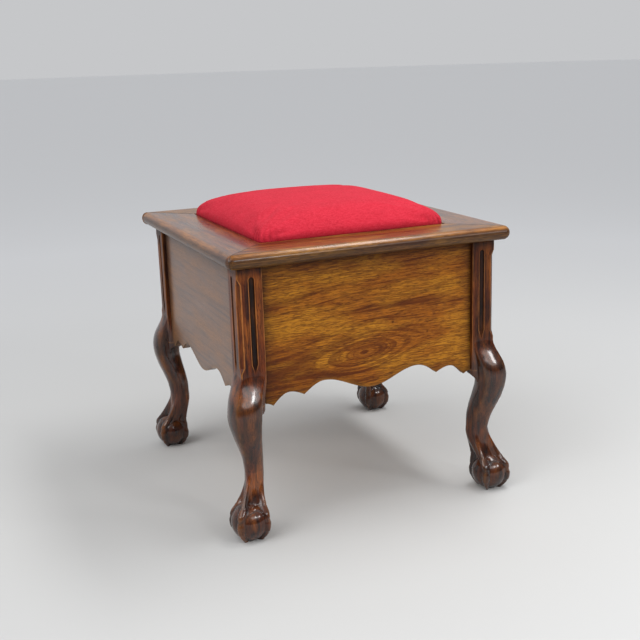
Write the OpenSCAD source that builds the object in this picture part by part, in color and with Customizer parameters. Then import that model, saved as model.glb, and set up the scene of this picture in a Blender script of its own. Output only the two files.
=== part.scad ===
// Lidded footstool with a drop-in padded seat, carved cabriole legs and a
// compartment with a shoe rest. Millimetres, floor at z = 0, front towards -Y.

/* [Case] */
// Width over the outer faces of the posts
case_w = 428; // [380:1:520]
// Depth over the outer faces of the posts
case_d = 447; // [400:1:520]
// Height of the flat top of the lid above the floor
lid_top_h = 440; // [410:1:520]
// Side of each square post
post_w = 39; // [36:1:44]
// Width of the chamfer on the outer corner of a post
post_chamfer = 6; // [3:0.5:8]
// Thickness of the front, back and side panels
panel_t = 14; // [12:0.5:16]
// Distance of the front and side panels behind the post faces
panel_reveal = 7; // [4:0.5:9]
// Distance of the back panel behind the back faces of the posts
back_reveal = 0.5; // [0.5:0.5:2]
// Height of the lowest points of the apron above the floor
apron_low_h = 202; // [190:1:230]
// Height of the tallest apron arch above those lowest points
apron_rise = 27; // [15:1:32]
// Thickness of the floor board of the compartment
floor_t = 10; // [8:1:14]

/* [Flutes] */
// Width of a flute in the face of a post
flute_w = 8.5; // [5:0.5:10]
// Plain wood left between the top of a flute and the top of its post
flute_top_gap = 15; // [10:1:30]
// Plain wood left between the foot of a flute and the start of the knee
flute_foot_gap = 8; // [6:1:20]
// Length of the pointed run-out at the foot of a flute
flute_point_l = 14; // [8:1:20]
// Length of each sloping stop of the corner chamfer
chamfer_stop_l = 11; // [6:1:16]

/* [Legs] */
// Height of the fullest part of the knee
knee_h = 198; // [190:1:204]
// Distance that the knee bows out along the corner's diagonal
knee_shift = 22; // [16:1:26]
// Depth of the knee along that diagonal
knee_depth = 50; // [44:1:54]
// Width of the knee across that diagonal
knee_width = 56; // [48:1:60]
// Height of the slimmest part of the ankle
ankle_h = 98; // [86:1:112]
// Distance that the ankle lies out along the diagonal
ankle_shift = 1.5; // [0:0.5:6]
// Depth of the ankle along the diagonal
ankle_depth = 33; // [28:1:38]
// Width of the ankle across the diagonal
ankle_width = 27; // [24:1:34]
// Diameter of the carved ball
ball_d = 58; // [50:1:62]
// Height of the centre of the ball above the floor
ball_h = 27; // [24:0.5:28]
// Distance that the ball lies out along the diagonal
foot_shift = 23; // [18:1:28]
// Width of a talon over the ball
talon_w = 15; // [11:0.5:19]

/* [Lid] */
// Thickness of the lid rails
lid_t = 22; // [20:0.5:26]
// Distance that the lid reaches past the post faces
lid_overhang = 22; // [18:1:26]
// Width of a lid rail
rail_w = 76; // [66:1:86]
// Width of the ledge that carries the seat
ledge_w = 12; // [10:1:16]
// Thickness of that ledge
ledge_t = 10; // [8:0.5:11]
// Thickness of the loose tongues in the mitres
spline_t = 4; // [3:0.5:5]

/* [Seat] */
// Height of the puffed edge of the cushion above the lid
seat_edge_h = 33; // [24:1:40]
// Height of the crown above the puffed edge
seat_crown_h = 7.5; // [4:0.5:16]
// Thickness of the board under the stuffing
seat_board_t = 9; // [7:0.5:10]
// Thickness of the woven cover
cover_t = 1.4; // [1:0.1:2]
// Distance that the cushion swells over the rails at the middle of a side
seat_bulge = 3; // [1:0.5:5]

/* [Hinges] */
// Length of a hinge
hinge_l = 64; // [50:1:80]
// Thickness of a hinge leaf
leaf_t = 1.6; // [1.2:0.1:2]
// Width of a hinge leaf on the wood
leaf_w = 12; // [10:0.5:13]
// Diameter of the hinge barrel
barrel_d = 6.4; // [5.6:0.2:7]
// Diameter of the hinge pin
pin_d = 2.8; // [2:0.1:3]
// Distance from the middle of a hinge to the post beside it
hinge_inset = 55; // [40:1:80]
// Opening angle of the lid that is drawn
lid_angle = 0; // [0:1:105]

/* [Shoe rest] */
// Length of the shoe rest from its heel end to its toe end
rest_l = 240; // [210:1:260]
// Width of the sole plate at its widest
rest_w = 84; // [70:1:96]
// Gap between the top of the sole plate and the closed lid
rest_gap = 24; // [20:1:60]
// Thickness of the sole plate and the heel pad
rest_t = 14; // [12:1:18]
// Height that the heel pad lies below the sole plate
rest_drop = 22; // [16:1:30]
// Thickness of the uprights
rest_post_t = 16; // [14:1:20]
// Thickness of the base of the shoe rest
rest_base_t = 12; // [10:1:16]

/* [Hidden] */

// Overrun of every cut past the face that it opens
cut_run = 1;
// Clearance around tongues, splines, leaves and screws
joint_clear = 0.1;
// Clearance of a hinge pin in its knuckles, on the radius
pin_clear = 0.05;
// Gap between the closed lid and the case
lid_gap = 0.3;
// Clearance of the floor board and of the seat in their openings
fit_clear = 0.6;

// Colours of the woods, the metal and the cloths
dark_mahogany = "#4a2416";
case_mahogany = "#8a4f22";
lid_mahogany = "#6f4024";
pale_pine = "#c49a62";
brass = "#b08d3e";
steel = "#8d8f92";
red_cloth = "#d83040";
stuffing = "#d9cba8";
black_cloth = "#2a2624";

// Derived heights and half sizes of the case
case_top = lid_top_h - lid_t - lid_gap;
post_half = post_w / 2;
post_x = case_w / 2 - post_half;
post_y = case_d / 2 - post_half;
half_span_x = case_w / 2 - post_w;
half_span_y = case_d / 2 - post_w;
// Height from the lowest apron point to the start of the knee
knee_rise = 48;
knee_top_h = apron_low_h + knee_rise;
// Height over which the underside of a post runs into the leg
taper_l = 11;
// Bottom width that this taper leaves, as a share of the post
taper_share = 0.5;

function ease(t) = (1 - cos(180 * min(max(t, 0), 1))) / 2;
function eased(z, z0, v0, z1, v1) = v0 + (v1 - v0) * ease((z - z0) / (z1 - z0));

// Leg: a closed skin of rings. Each ring is a superellipse around a centre
// line that bows out along the diagonal of the corner, and the foot adds a
// ball, four talons and the web between them.
leg_segments = 36;
foot_rings = 19;
shank_rings = 12;
knee_rings = 11;
// Height at which the foot has its full shift, as a share of the ball
foot_bow_share = 0.66;
// Height above the floor at which foot and shank meet, as a share of the ball
foot_top_share = 1.3;
// Section at the top of the knee, as a share of the diagonal of the post
knee_top_share = 0.92;
// Pointedness of a section: 1 is a diamond, 2 is an ellipse
knee_top_power = 1.08;
knee_power = 1.55;
ankle_power = 2;
// Depth and width of the flare above the web, as shares of the ball
flare_share = 0.98;
// Height of the web between two talons, and its edge beside a talon
web_mid_share = 0.78;
web_edge_share = 0.6;
// Reach of a talon from the axis of the ball at heights above the floor
talon_reach_shares = [
    [0, 0.45], [0.1, 0.52], [0.22, 0.575], [0.36, 0.61], [0.46, 0.62], [0.55, 0.575],
    [0.66, 0.585], [0.76, 0.55], [0.88, 0.45], [1.02, 0.36], [1.2, 0.31], [1.45, 0.29]
];
// Width of a talon at heights above the floor, as shares of its full width
talon_width_shares = [
    [0, 0.45], [0.2, 0.7], [0.42, 1], [0.55, 0.85], [0.7, 1], [1, 0.95], [1.4, 1.1]
];
// Height at which the flare reaches the ankle's size, as a share of the ankle height
flare_top_share = 0.78;
// Power that packs the rings of the foot towards the floor
ring_power = 1.15;
// Power of the soft maximum that joins ball, web and shank
join_power = 9;

function leg_bow(z) =
    z < ankle_h ? eased(z, ball_d * foot_bow_share, foot_shift, ankle_h, ankle_shift)
    : z < knee_h ? eased(z, ankle_h, ankle_shift, knee_h, knee_shift)
    : eased(z, knee_h, knee_shift, knee_top_h, 0);
function leg_size(z, ankle, knee, top) =
    z < knee_h ? eased(z, ankle_h, ankle, knee_h, knee)
    : eased(z, knee_h, knee, knee_top_h, top);
function leg_power(z) =
    z < knee_h ? eased(z, ankle_h, ankle_power, knee_h, knee_power)
    : eased(z, knee_h, knee_power, knee_top_h, knee_top_power);
function section_r(a, depth, width, power) =
    pow(pow(abs(cos(a)) * 2 / depth, power) + pow(abs(sin(a)) * 2 / width, power), -1 / power);
function soft_max(p, q) = pow(pow(p, join_power) + pow(q, join_power), 1 / join_power);

// Angle to the nearest talon: they point along and across the diagonal
function talon_angle(a) = let (b = a % 90) min(b, 90 - b);
function ball_r(z) = sqrt(max(pow(ball_d / 2, 2) - pow(z - ball_h, 2), 0));
function flare_d(z, ankle) =
    eased(z, ball_d * web_edge_share, ball_d * flare_share, ankle_h * flare_top_share, ankle);
function web_edge(a) =
    ball_d * (web_edge_share + (web_mid_share - web_edge_share) * ease(talon_angle(a) / 45));
function foot_base_r(a, z) =
    let (shank = section_r(a, flare_d(z, ankle_depth), flare_d(z, ankle_width), ankle_power))
    z < web_edge(a) ? ball_r(z) : soft_max(shank, ball_r(z));
function talon_crest(a, z) =
    exp(-pow(talon_angle(a) * PI / 180 * ball_d
        / (talon_w * lookup(z / ball_d, talon_width_shares)), 2));
function foot_r(a, z) =
    let (base = foot_base_r(a, z), reach = ball_d * lookup(z / ball_d, talon_reach_shares))
    base + max(reach - base, 0) * talon_crest(a, z);
function leg_r(a, z) =
    z < ball_d * foot_top_share ? foot_r(a, z)
    : section_r(a,
        leg_size(z, ankle_depth, knee_depth, post_w * sqrt(2) * knee_top_share),
        leg_size(z, ankle_width, knee_width, post_w * sqrt(2) * knee_top_share),
        leg_power(z));

function ring_heights() = concat(
    [for (i = [0 : foot_rings - 1]) ball_d * foot_top_share * pow(i / foot_rings, ring_power)],
    [for (i = [0 : shank_rings - 1])
        ball_d * foot_top_share + (knee_h - ball_d * foot_top_share) * i / shank_rings],
    [for (i = [0 : knee_rings]) knee_h + (knee_top_h - knee_h) * i / knee_rings]);
function ring_point(a, z) =
    let (s = leg_bow(z) + leg_r(a, z) * cos(a), t = leg_r(a, z) * sin(a))
    [(s - t) / sqrt(2), (s + t) / sqrt(2), z];

// Closed skin over a stack of rings, with flat ends or with fans to a peak
// and to the point of the lowest ring's plane below it
module skin(rings, peak) {
    flat = is_undef(peak);
    rows = len(rings);
    cols = len(rings[0]);
    rim = (rows - 1) * cols;
    sides = [for (j = [0 : rows - 2], i = [0 : cols - 1], half = [0, 1])
        let (k = (i + 1) % cols)
        half == 0 ? [j * cols + i, (j + 1) * cols + i, j * cols + k]
        : [(j + 1) * cols + i, (j + 1) * cols + k, j * cols + k]];
    top = flat ? [[for (i = [cols - 1 : -1 : 0]) rim + i]]
        : [for (i = [0 : cols - 1]) [rim + i, rows * cols, rim + (i + 1) % cols]];
    base = flat ? [[for (i = [0 : cols - 1]) i]]
        : [for (i = [0 : cols - 1]) [(i + 1) % cols, rows * cols + 1, i]];
    ends = flat ? [] : [peak, [peak[0], peak[1], rings[0][0][2]]];
    polyhedron(
        points = concat([for (ring = rings, p = ring) p], ends),
        faces = concat(sides, base, top),
        convexity = 6);
}

module carved_leg() {
    skin([for (z = ring_heights())
        [for (i = [0 : leg_segments - 1]) ring_point(360 * i / leg_segments, z)]]);
}

// Chamfer with sloping stops, cut across the outer corner of a post
module corner_chamfer() {
    corner_s = post_half * sqrt(2);
    deep_s = corner_s - post_chamfer / sqrt(2);
    foot_z = knee_top_h + flute_foot_gap;
    top_z = case_top - flute_top_gap;
    rotate([90, 0, 45])
        translate([0, 0, -post_half])
            linear_extrude(post_w)
                polygon([
                    [corner_s + cut_run, foot_z - chamfer_stop_l * cut_run * sqrt(2) / post_chamfer],
                    [deep_s, foot_z + chamfer_stop_l],
                    [deep_s, top_z - chamfer_stop_l],
                    [corner_s + cut_run, top_z + chamfer_stop_l * cut_run * sqrt(2) / post_chamfer]
                ]);
}

// Flute with a round head and a pointed foot, cut into the face x = post_half
// by a turned form whose axis runs a little way outside that face
flute_depth_share = 0.42;
flute_head_steps = 8;
module flute() {
    foot_z = knee_top_h + flute_foot_gap;
    head_z = case_top - flute_top_gap - flute_w / 2;
    depth = flute_w * flute_depth_share;
    cutter_r = (pow(flute_w / 2, 2) + depth * depth) / (2 * depth);
    axis_out = cutter_r - depth;
    point_run = flute_point_l * axis_out / depth;
    head = [for (i = [0 : flute_head_steps]) let (a = 90 * i / flute_head_steps)
        [cutter_r * cos(a), head_z + cutter_r * sin(a)]];
    translate([post_half + axis_out, -post_chamfer / 2, 0])
        rotate_extrude($fn = 32)
            polygon(concat([[0, foot_z - point_run], [cutter_r, foot_z + flute_point_l]], head));
}

// Groove for a panel's tongue, open at the top, in the face x = -post_half
tongue_l = 8;
tongue_t = 7;
tongue_foot_gap = 2;
tongue_foot_h = knee_top_h + tongue_foot_gap;
module tongue_groove(reveal) {
    middle = post_half - reveal - panel_t / 2;
    translate([-post_half - cut_run, middle - tongue_t / 2 - joint_clear, tongue_foot_h - joint_clear])
        cube([cut_run + tongue_l + joint_clear, tongue_t + 2 * joint_clear, case_top]);
}

// Post and leg as one piece, drawn for the corner that faces +X and +Y
module leg(reveal_y) {
    block_z = apron_low_h - taper_l;
    color(dark_mahogany)
        union() {
            difference() {
                translate([-post_half, -post_half, block_z])
                    cube([post_w, post_w, case_top - block_z]);
                for (turn = [0, 1])
                    mirror([turn, -turn, 0]) {
                        flute();
                        translate([-post_half, 0, apron_low_h])
                            rotate([0, -atan(post_w * taper_share / taper_l), 0])
                                translate([-2 * post_w, -post_w, -2 * post_w])
                                    cube(2 * post_w);
                    }
                corner_chamfer();
                tongue_groove(reveal_y);
                mirror([1, -1, 0])
                    tongue_groove(panel_reveal);
            }
            carved_leg();
        }
}

module at_corner(side_x, side_y) {
    translate([side_x * post_x, side_y * post_y, 0])
        mirrored(side_x, side_y)
            children();
}

module mirrored(side_x, side_y) {
    mirror([side_x < 0 ? 1 : 0, 0, 0])
        mirror([0, side_y < 0 ? 1 : 0, 0])
            children();
}

module front_left_leg() { at_corner(-1, -1) leg(panel_reveal); }
module front_right_leg() { at_corner(1, -1) leg(panel_reveal); }
module back_left_leg() { at_corner(-1, 1) leg(back_reveal); }
module back_right_leg() { at_corner(1, 1) leg(back_reveal); }

// Apron outline over half a span: shares of the half span and of the rise
apron_shares = [[0, 0.17], [0.45, 1], [0.647, 0.37], [0.782, 0.65], [0.935, 0], [1, 0.17]];
arch_steps = 8;
// Height share at a point t of the way along stretch k. The first stretch is
// smooth at both ends, and the others are round at a top and sharp at a cusp.
function apron_share(k, t) =
    let (h0 = apron_shares[k][1], h1 = apron_shares[k + 1][1])
    k == 0 ? h0 + (h1 - h0) * ease(t)
    : h1 < h0 ? h0 + (h1 - h0) * (1 - cos(90 * t))
    : h0 + (h1 - h0) * sin(90 * t);
function apron_half(half_span) = concat(
    [for (k = [0 : len(apron_shares) - 2], i = [0 : arch_steps - 1])
        let (t = i / arch_steps, x0 = apron_shares[k][0], x1 = apron_shares[k + 1][0])
        [half_span * (x0 + (x1 - x0) * t), apron_low_h + apron_rise * apron_share(k, t)]],
    [[half_span, apron_low_h + apron_rise * apron_shares[len(apron_shares) - 1][1]]]);

// Panel in the plane XZ with its face at y = 0 and its back at y = panel_t
module panel(span) {
    half_span = span - joint_clear;
    right = apron_half(half_span);
    left = [for (i = [len(right) - 1 : -1 : 1]) [-right[i][0], right[i][1]]];
    translate([0, panel_t, 0])
        rotate([90, 0, 0])
            linear_extrude(panel_t)
                polygon(concat(left, right, [[half_span, case_top], [-half_span, case_top]]));
    for (side = [-1, 1])
        translate([side * (span + tongue_l / 2) - (tongue_l + 2 * cut_run) / 2 - side * cut_run,
                   (panel_t - tongue_t) / 2, tongue_foot_h])
            cube([tongue_l + 2 * cut_run, tongue_t, case_top - tongue_foot_h]);
}

front_panel_y = -case_d / 2 + panel_reveal;
back_panel_y = case_d / 2 - back_reveal;
side_panel_x = case_w / 2 - panel_reveal;

module front_panel() {
    color(case_mahogany)
        translate([0, front_panel_y, 0])
            panel(half_span_x);
}

module back_panel() {
    color(case_mahogany)
        difference() {
            translate([0, back_panel_y, 0])
                rotate([0, 0, 180])
                    panel(half_span_x);
            for (side = [-1, 1]) {
                translate([side * hinge_x, 0, 0])
                    leaf_seat(case_top - leaf_t - joint_clear, case_top + cut_run);
                translate([side * hinge_x, 0, 0])
                    leaf_screw_holes(case_top, -1);
            }
        }
}

module left_panel() {
    color(case_mahogany)
        translate([-side_panel_x, 0, 0])
            rotate([0, 0, -90])
                panel(half_span_y);
}

module right_panel() {
    color(case_mahogany)
        translate([side_panel_x, 0, 0])
            rotate([0, 0, 90])
                panel(half_span_y);
}

// Floor of the compartment on four cleats, hidden above the apron arches
cleat_t = 16;
cleat_w = 16;
cleat_foot_gap = 4;
cleat_foot_h = apron_low_h + apron_rise + cleat_foot_gap;
floor_h = cleat_foot_h + cleat_t;
floor_top = floor_h + floor_t;
inner_x = side_panel_x - panel_t;
inner_front_y = front_panel_y + panel_t;
inner_back_y = back_panel_y - panel_t;

module floor_board() {
    color(pale_pine)
        difference() {
            translate([-inner_x + fit_clear, inner_front_y + fit_clear, floor_h])
                cube([2 * (inner_x - fit_clear), inner_back_y - inner_front_y - 2 * fit_clear, floor_t]);
            for (x = [-1, 1], y = [-1, 1])
                translate([x * post_x, y * post_y, 0])
                    translate([-post_half - fit_clear, -post_half - fit_clear, floor_h - cut_run])
                        cube([post_w + 2 * fit_clear, post_w + 2 * fit_clear, floor_t + 2 * cut_run]);
            rest_screw_holes();
        }
}

module cleat(length) {
    color(pale_pine)
        translate([-length / 2 + joint_clear, 0, cleat_foot_h])
            cube([length - 2 * joint_clear, cleat_w, cleat_t]);
}

module front_cleat() { translate([0, inner_front_y, 0]) cleat(2 * half_span_x); }
module back_cleat() { translate([0, inner_back_y - cleat_w, 0]) cleat(2 * half_span_x); }
module left_cleat() { translate([-inner_x, 0, 0]) rotate([0, 0, -90]) cleat(2 * half_span_y); }
module right_cleat() { translate([inner_x, 0, 0]) rotate([0, 0, 90]) cleat(2 * half_span_y); }

// Shoe rest: base, two uprights, a heel pad and a sole plate shaped like a shoe
rest_top = case_top - rest_gap;
heel_top = rest_top - rest_drop;
base_w_share = 0.85;
upright_w_share = 0.62;
heel_l_share = 0.3;
sole_l_share = 0.62;
toe_upright_share = 0.55;
rest_base_w = rest_w * base_w_share;
upright_w = rest_w * upright_w_share;
heel_l = rest_l * heel_l_share;
sole_l = rest_l * sole_l_share;
heel_upright_y = -rest_l / 2 + heel_l / 2;
toe_upright_y = rest_l / 2 - sole_l * toe_upright_share;
rest_base_top = floor_top + rest_base_t;
screw_d = 3.6;
screw_head_d = 7.4;
screw_head_t = 2.6;
rest_screw_l = 34;

module wood_screw(length) {
    cylinder(h = screw_head_t, d1 = screw_head_d, d2 = screw_d, $fn = 24);
    translate([0, 0, screw_head_t])
        cylinder(h = length - screw_head_t, d = screw_d, $fn = 24);
}

module wood_screw_hole(length) {
    translate([0, 0, -cut_run])
        cylinder(h = cut_run + joint_clear, d = screw_head_d + 2 * joint_clear, $fn = 24);
    translate([0, 0, joint_clear])
        cylinder(h = screw_head_t, d1 = screw_head_d + 2 * joint_clear,
                 d2 = screw_d + 2 * joint_clear, $fn = 24);
    translate([0, 0, joint_clear + screw_head_t])
        cylinder(h = length - screw_head_t, d = screw_d + 2 * joint_clear, $fn = 24);
}

module at_rest_screws() {
    for (x = [-1, 1], y = [heel_upright_y, toe_upright_y])
        translate([x * upright_w / 4, y, floor_h])
            children();
}

module rest_screw_holes() { at_rest_screws() wood_screw_hole(rest_screw_l); }

module shoe_rest_screws() {
    color(steel)
        at_rest_screws()
            translate([0, 0, joint_clear])
                wood_screw(rest_screw_l - joint_clear);
}

module shoe_rest_base() {
    color(dark_mahogany)
        difference() {
            translate([-rest_base_w / 2, -rest_l / 2, floor_top])
                cube([rest_base_w, rest_l, rest_base_t]);
            rest_screw_holes();
        }
}

// Upright that narrows to a waist between its foot and its head
waist_share = 0.6;
upright_steps = 8;
module upright(y, top) {
    height = top - rest_base_top;
    side = [for (i = [0 : upright_steps])
        let (t = i / upright_steps)
        [upright_w / 2 * (1 - (1 - waist_share) * sin(180 * t)), height * t]];
    color(dark_mahogany)
        difference() {
            translate([0, y + rest_post_t / 2, rest_base_top])
                rotate([90, 0, 0])
                    linear_extrude(rest_post_t)
                        polygon(concat(side,
                            [for (i = [upright_steps : -1 : 0]) [-side[i][0], side[i][1]]]));
            rest_screw_holes();
        }
}

module shoe_rest_heel_upright() { upright(heel_upright_y, heel_top - rest_t); }
module shoe_rest_toe_upright() { upright(toe_upright_y, rest_top - rest_t); }

// Half widths of the sole plate along its length, from its waist to its toe
sole_shares = [
    [0, 0.74], [0.18, 0.78], [0.4, 0.92], [0.62, 1],
    [0.8, 0.92], [0.92, 0.66], [0.98, 0.36], [1, 0]
];
heel_shares = [[0, 0], [0.05, 0.34], [0.16, 0.6], [0.4, 0.74], [1, 0.74]];

module shoe_plate(shares, length, top) {
    side = [for (s = shares) [rest_w / 2 * s[1], length * s[0]]];
    count = len(side);
    color(dark_mahogany)
        translate([0, 0, top - rest_t])
            linear_extrude(rest_t)
                polygon(concat(
                    [for (p = side) p],
                    [for (i = [count - 1 : -1 : 0]) if (side[i][0] > 0) [-side[i][0], side[i][1]]]));
}

module shoe_rest_heel_pad() {
    translate([0, -rest_l / 2, 0])
        shoe_plate(heel_shares, heel_l, heel_top);
}

module shoe_rest_sole_plate() {
    translate([0, rest_l / 2 - sole_l, 0])
        shoe_plate(sole_shares, sole_l, rest_top);
}

// Butt hinges: the pin lies just behind the case, level with the lid gap
barrel_gap = 0.4;
pin_y = case_d / 2 + barrel_d / 2 + barrel_gap;
pin_z = case_top + lid_gap / 2;
knuckles = 5;
knuckle_gap = 0.3;
leaf_front_y = case_d / 2 - back_reveal - leaf_w;
hinge_x = half_span_x - hinge_inset;
leaf_screw_l = 15;
leaf_screw_d = 2.4;
leaf_head_d = 4.6;
leaf_head_t = 1.2;
leaf_screws = 3;

// Space for a leaf and its barrel between two heights
module leaf_seat(low_z, high_z) {
    translate([-hinge_l / 2 - joint_clear, leaf_front_y - joint_clear, low_z])
        cube([hinge_l + 2 * joint_clear, case_d / 2 + cut_run - leaf_front_y + joint_clear, high_z - low_z]);
}

// Screws of one leaf, heads at height z, pointing along dir
module at_leaf_screws(z, dir) {
    for (i = [0 : leaf_screws - 1])
        translate([hinge_l * ((i + 0.5) / leaf_screws - 0.5), leaf_front_y + leaf_w / 2, z])
            mirror([0, 0, dir < 0 ? 1 : 0])
                children();
}

module leaf_screw() {
    cylinder(h = leaf_head_t, d1 = leaf_head_d, d2 = leaf_screw_d, $fn = 24);
    translate([0, 0, leaf_head_t])
        cylinder(h = leaf_screw_l - leaf_head_t, d = leaf_screw_d, $fn = 24);
}

module leaf_screw_holes(z, dir) {
    at_leaf_screws(z, dir) {
        translate([0, 0, -cut_run])
            cylinder(h = cut_run + joint_clear, d = leaf_head_d + 2 * joint_clear, $fn = 24);
        translate([0, 0, joint_clear])
            cylinder(h = leaf_head_t, d1 = leaf_head_d + 2 * joint_clear,
                     d2 = leaf_screw_d + 2 * joint_clear, $fn = 24);
        cylinder(h = leaf_screw_l + joint_clear, d = leaf_screw_d + 2 * joint_clear, $fn = 24);
    }
}

// One hinge leaf: part 0 is on the case, part 1 on the lid
module hinge_leaf(part) {
    knuckle_l = hinge_l / knuckles;
    low_z = part == 0 ? case_top - leaf_t : case_top + lid_gap;
    color(brass)
        difference() {
            union() {
                translate([-hinge_l / 2, leaf_front_y, low_z])
                    cube([hinge_l, leaf_w, leaf_t]);
                for (i = [part : 2 : knuckles - 1])
                    translate([-hinge_l / 2 + knuckle_l * i + knuckle_gap / 2, 0, 0]) {
                        translate([0, leaf_front_y + leaf_w / 2, low_z])
                            cube([knuckle_l - knuckle_gap, pin_y - leaf_front_y - leaf_w / 2, leaf_t]);
                        translate([0, pin_y, pin_z])
                            rotate([0, 90, 0])
                                cylinder(h = knuckle_l - knuckle_gap, d = barrel_d, $fn = 32);
                    }
            }
            translate([-hinge_l / 2 - cut_run, pin_y, pin_z])
                rotate([0, 90, 0])
                    cylinder(h = hinge_l + 2 * cut_run, d = pin_d + 2 * pin_clear, $fn = 32);
            if (part == 0)
                leaf_screw_holes(case_top, -1);
            else
                leaf_screw_holes(case_top + lid_gap, 1);
        }
}

module left_hinge_case_leaf() { translate([-hinge_x, 0, 0]) hinge_leaf(0); }
module right_hinge_case_leaf() { translate([hinge_x, 0, 0]) hinge_leaf(0); }

module hinge_pins() {
    color(brass)
        for (side = [-1, 1])
            translate([side * hinge_x - hinge_l / 2, pin_y, pin_z])
                rotate([0, 90, 0])
                    cylinder(h = hinge_l, d = pin_d, $fn = 32);
}

module hinge_case_screws() {
    color(brass)
        for (side = [-1, 1])
            translate([side * hinge_x, 0, 0])
                at_leaf_screws(case_top - joint_clear, -1)
                    leaf_screw();
}

// Everything on the lid turns about the pins
module with_lid() {
    translate([0, pin_y, pin_z])
        rotate([-lid_angle, 0, 0])
            translate([0, -pin_y, -pin_z])
                children();
}

module left_hinge_lid_leaf() { with_lid() translate([-hinge_x, 0, 0]) hinge_leaf(1); }
module right_hinge_lid_leaf() { with_lid() translate([hinge_x, 0, 0]) hinge_leaf(1); }

module hinge_lid_screws() {
    color(brass)
        with_lid()
            for (side = [-1, 1])
                translate([side * hinge_x, 0, 0])
                    at_leaf_screws(case_top + lid_gap + joint_clear, 1)
                        leaf_screw();
}

// Lid frame: four mitred rails with a round outer edge and a ledge inside
lid_x = case_w / 2 + lid_overhang;
lid_y = case_d / 2 + lid_overhang;
open_x = lid_x - rail_w;
open_y = lid_y - rail_w;
lid_foot = case_top + lid_gap;
ledge_top = lid_foot + ledge_t;
edge_r = lid_t / 2;

// One rail along X, its outer edge at y = -reach and its mitres at 45 degrees
module rail(half_l, reach) {
    inner_l = half_l - rail_w;
    difference() {
        intersection() {
            union() {
                translate([-half_l, -reach + edge_r, lid_foot])
                    cube([2 * half_l, rail_w + ledge_w, lid_t]);
                translate([-half_l + edge_r, -reach + edge_r, lid_foot + edge_r])
                    rotate([0, 90, 0])
                        cylinder(h = 2 * (half_l - edge_r), d = lid_t, $fn = 64);
                for (side = [-1, 1])
                    translate([side * (half_l - edge_r), -reach + edge_r, lid_foot + edge_r])
                        sphere(d = lid_t, $fn = 64);
            }
            translate([0, 0, lid_foot - cut_run])
                linear_extrude(lid_t + 2 * cut_run)
                    polygon([
                        [-half_l, -reach], [half_l, -reach],
                        [inner_l - ledge_w, -reach + rail_w + ledge_w],
                        [-inner_l + ledge_w, -reach + rail_w + ledge_w]
                    ]);
        }
        translate([-inner_l - cut_run, -reach + rail_w, ledge_top])
            cube([2 * (inner_l + cut_run), ledge_w + cut_run, lid_t]);
        for (side = [-1, 1])
            spline_slot(side, inner_l, reach);
    }
}

// Loose tongue across each mitre, and the slot that takes it
spline_l = 52;
spline_w = 18;
module spline_bar(length, width, thickness) {
    rotate([0, 0, 45])
        translate([-width / 2, -length / 2, -thickness / 2])
            cube([width, length, thickness]);
}

function spline_out(inner) = inner + rail_w / 2;
module spline_slot(side, inner_l, reach) {
    translate([side * spline_out(inner_l), -reach + rail_w / 2, lid_foot + ledge_t / 2])
        mirrored(side, 1)
            spline_bar(spline_l + 2 * joint_clear, spline_w + 2 * joint_clear, spline_t + 2 * joint_clear);
}

module lid_mitre_splines() {
    color(lid_mahogany)
        with_lid()
            for (x = [-1, 1], y = [-1, 1])
                translate([x * spline_out(open_x), y * spline_out(open_y), lid_foot + ledge_t / 2])
                    mirrored(x, -y)
                        spline_bar(spline_l, spline_w, spline_t);
}

module lid_front_rail() {
    color(lid_mahogany)
        with_lid()
            rail(lid_x, lid_y);
}

module lid_back_rail() {
    color(lid_mahogany)
        with_lid()
            difference() {
                rotate([0, 0, 180])
                    rail(lid_x, lid_y);
                for (side = [-1, 1])
                    translate([side * hinge_x, 0, 0]) {
                        leaf_seat(lid_foot - cut_run, lid_foot + leaf_t + joint_clear);
                        barrel_seat();
                        leaf_screw_holes(lid_foot, 1);
                    }
            }
}

// Hollow in the underside of the lid that clears the hinge barrel
module barrel_seat() {
    reach = barrel_d / 2 + barrel_gap;
    translate([-hinge_l / 2 - joint_clear, pin_y - reach, lid_foot - cut_run])
        cube([hinge_l + 2 * joint_clear, 2 * reach, pin_z + reach - lid_foot + cut_run]);
}

module lid_left_rail() {
    color(lid_mahogany)
        with_lid()
            rotate([0, 0, -90])
                rail(lid_y, lid_x);
}

module lid_right_rail() {
    color(lid_mahogany)
        with_lid()
            rotate([0, 0, 90])
                rail(lid_y, lid_x);
}

// Seat: board, stuffing and a cover that wraps the board and turns under it
cover_x = open_x - fit_clear;
cover_y = open_y - fit_clear;
cover_foot = ledge_top + joint_clear;
board_foot = cover_foot + cover_t + joint_clear;
board_top = board_foot + seat_board_t;
flap_over = 2;
flap_w = ledge_w + flap_over;
cover_gap = 0.9;
corner_points = 4;
side_points = 8;
seat_columns = 4 * (corner_points + side_points);
dome_rings = 10;
// Plan corner radius of the seat
seat_corner_r = 10.5;
// Sharpness of the puffed edge and of its shoulder
edge_power = 6;
shoulder_power = 0.42;

// Outline of the seat for half sizes x and y and corner radius r: an arc at
// each corner and an even run of points along each side
function seat_rim(x, y, r) = [for (k = [0 : 3])
    let (centre = [(k == 0 || k == 3 ? 1 : -1) * (x - r), (k < 2 ? 1 : -1) * (y - r)],
         next = [(k > 1 ? 1 : -1) * (x - r), (k == 0 || k == 3 ? 1 : -1) * (y - r)],
         arc = [for (j = [0 : corner_points - 1])
             let (a = 90 * (k + j / (corner_points - 1))) centre + r * [cos(a), sin(a)]],
         from = arc[corner_points - 1],
         to = next + r * [cos(90 * (k + 1)), sin(90 * (k + 1))],
         side = [for (j = [1 : side_points]) from + (to - from) * j / (side_points + 1)])
    each concat(arc, side)];

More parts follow.
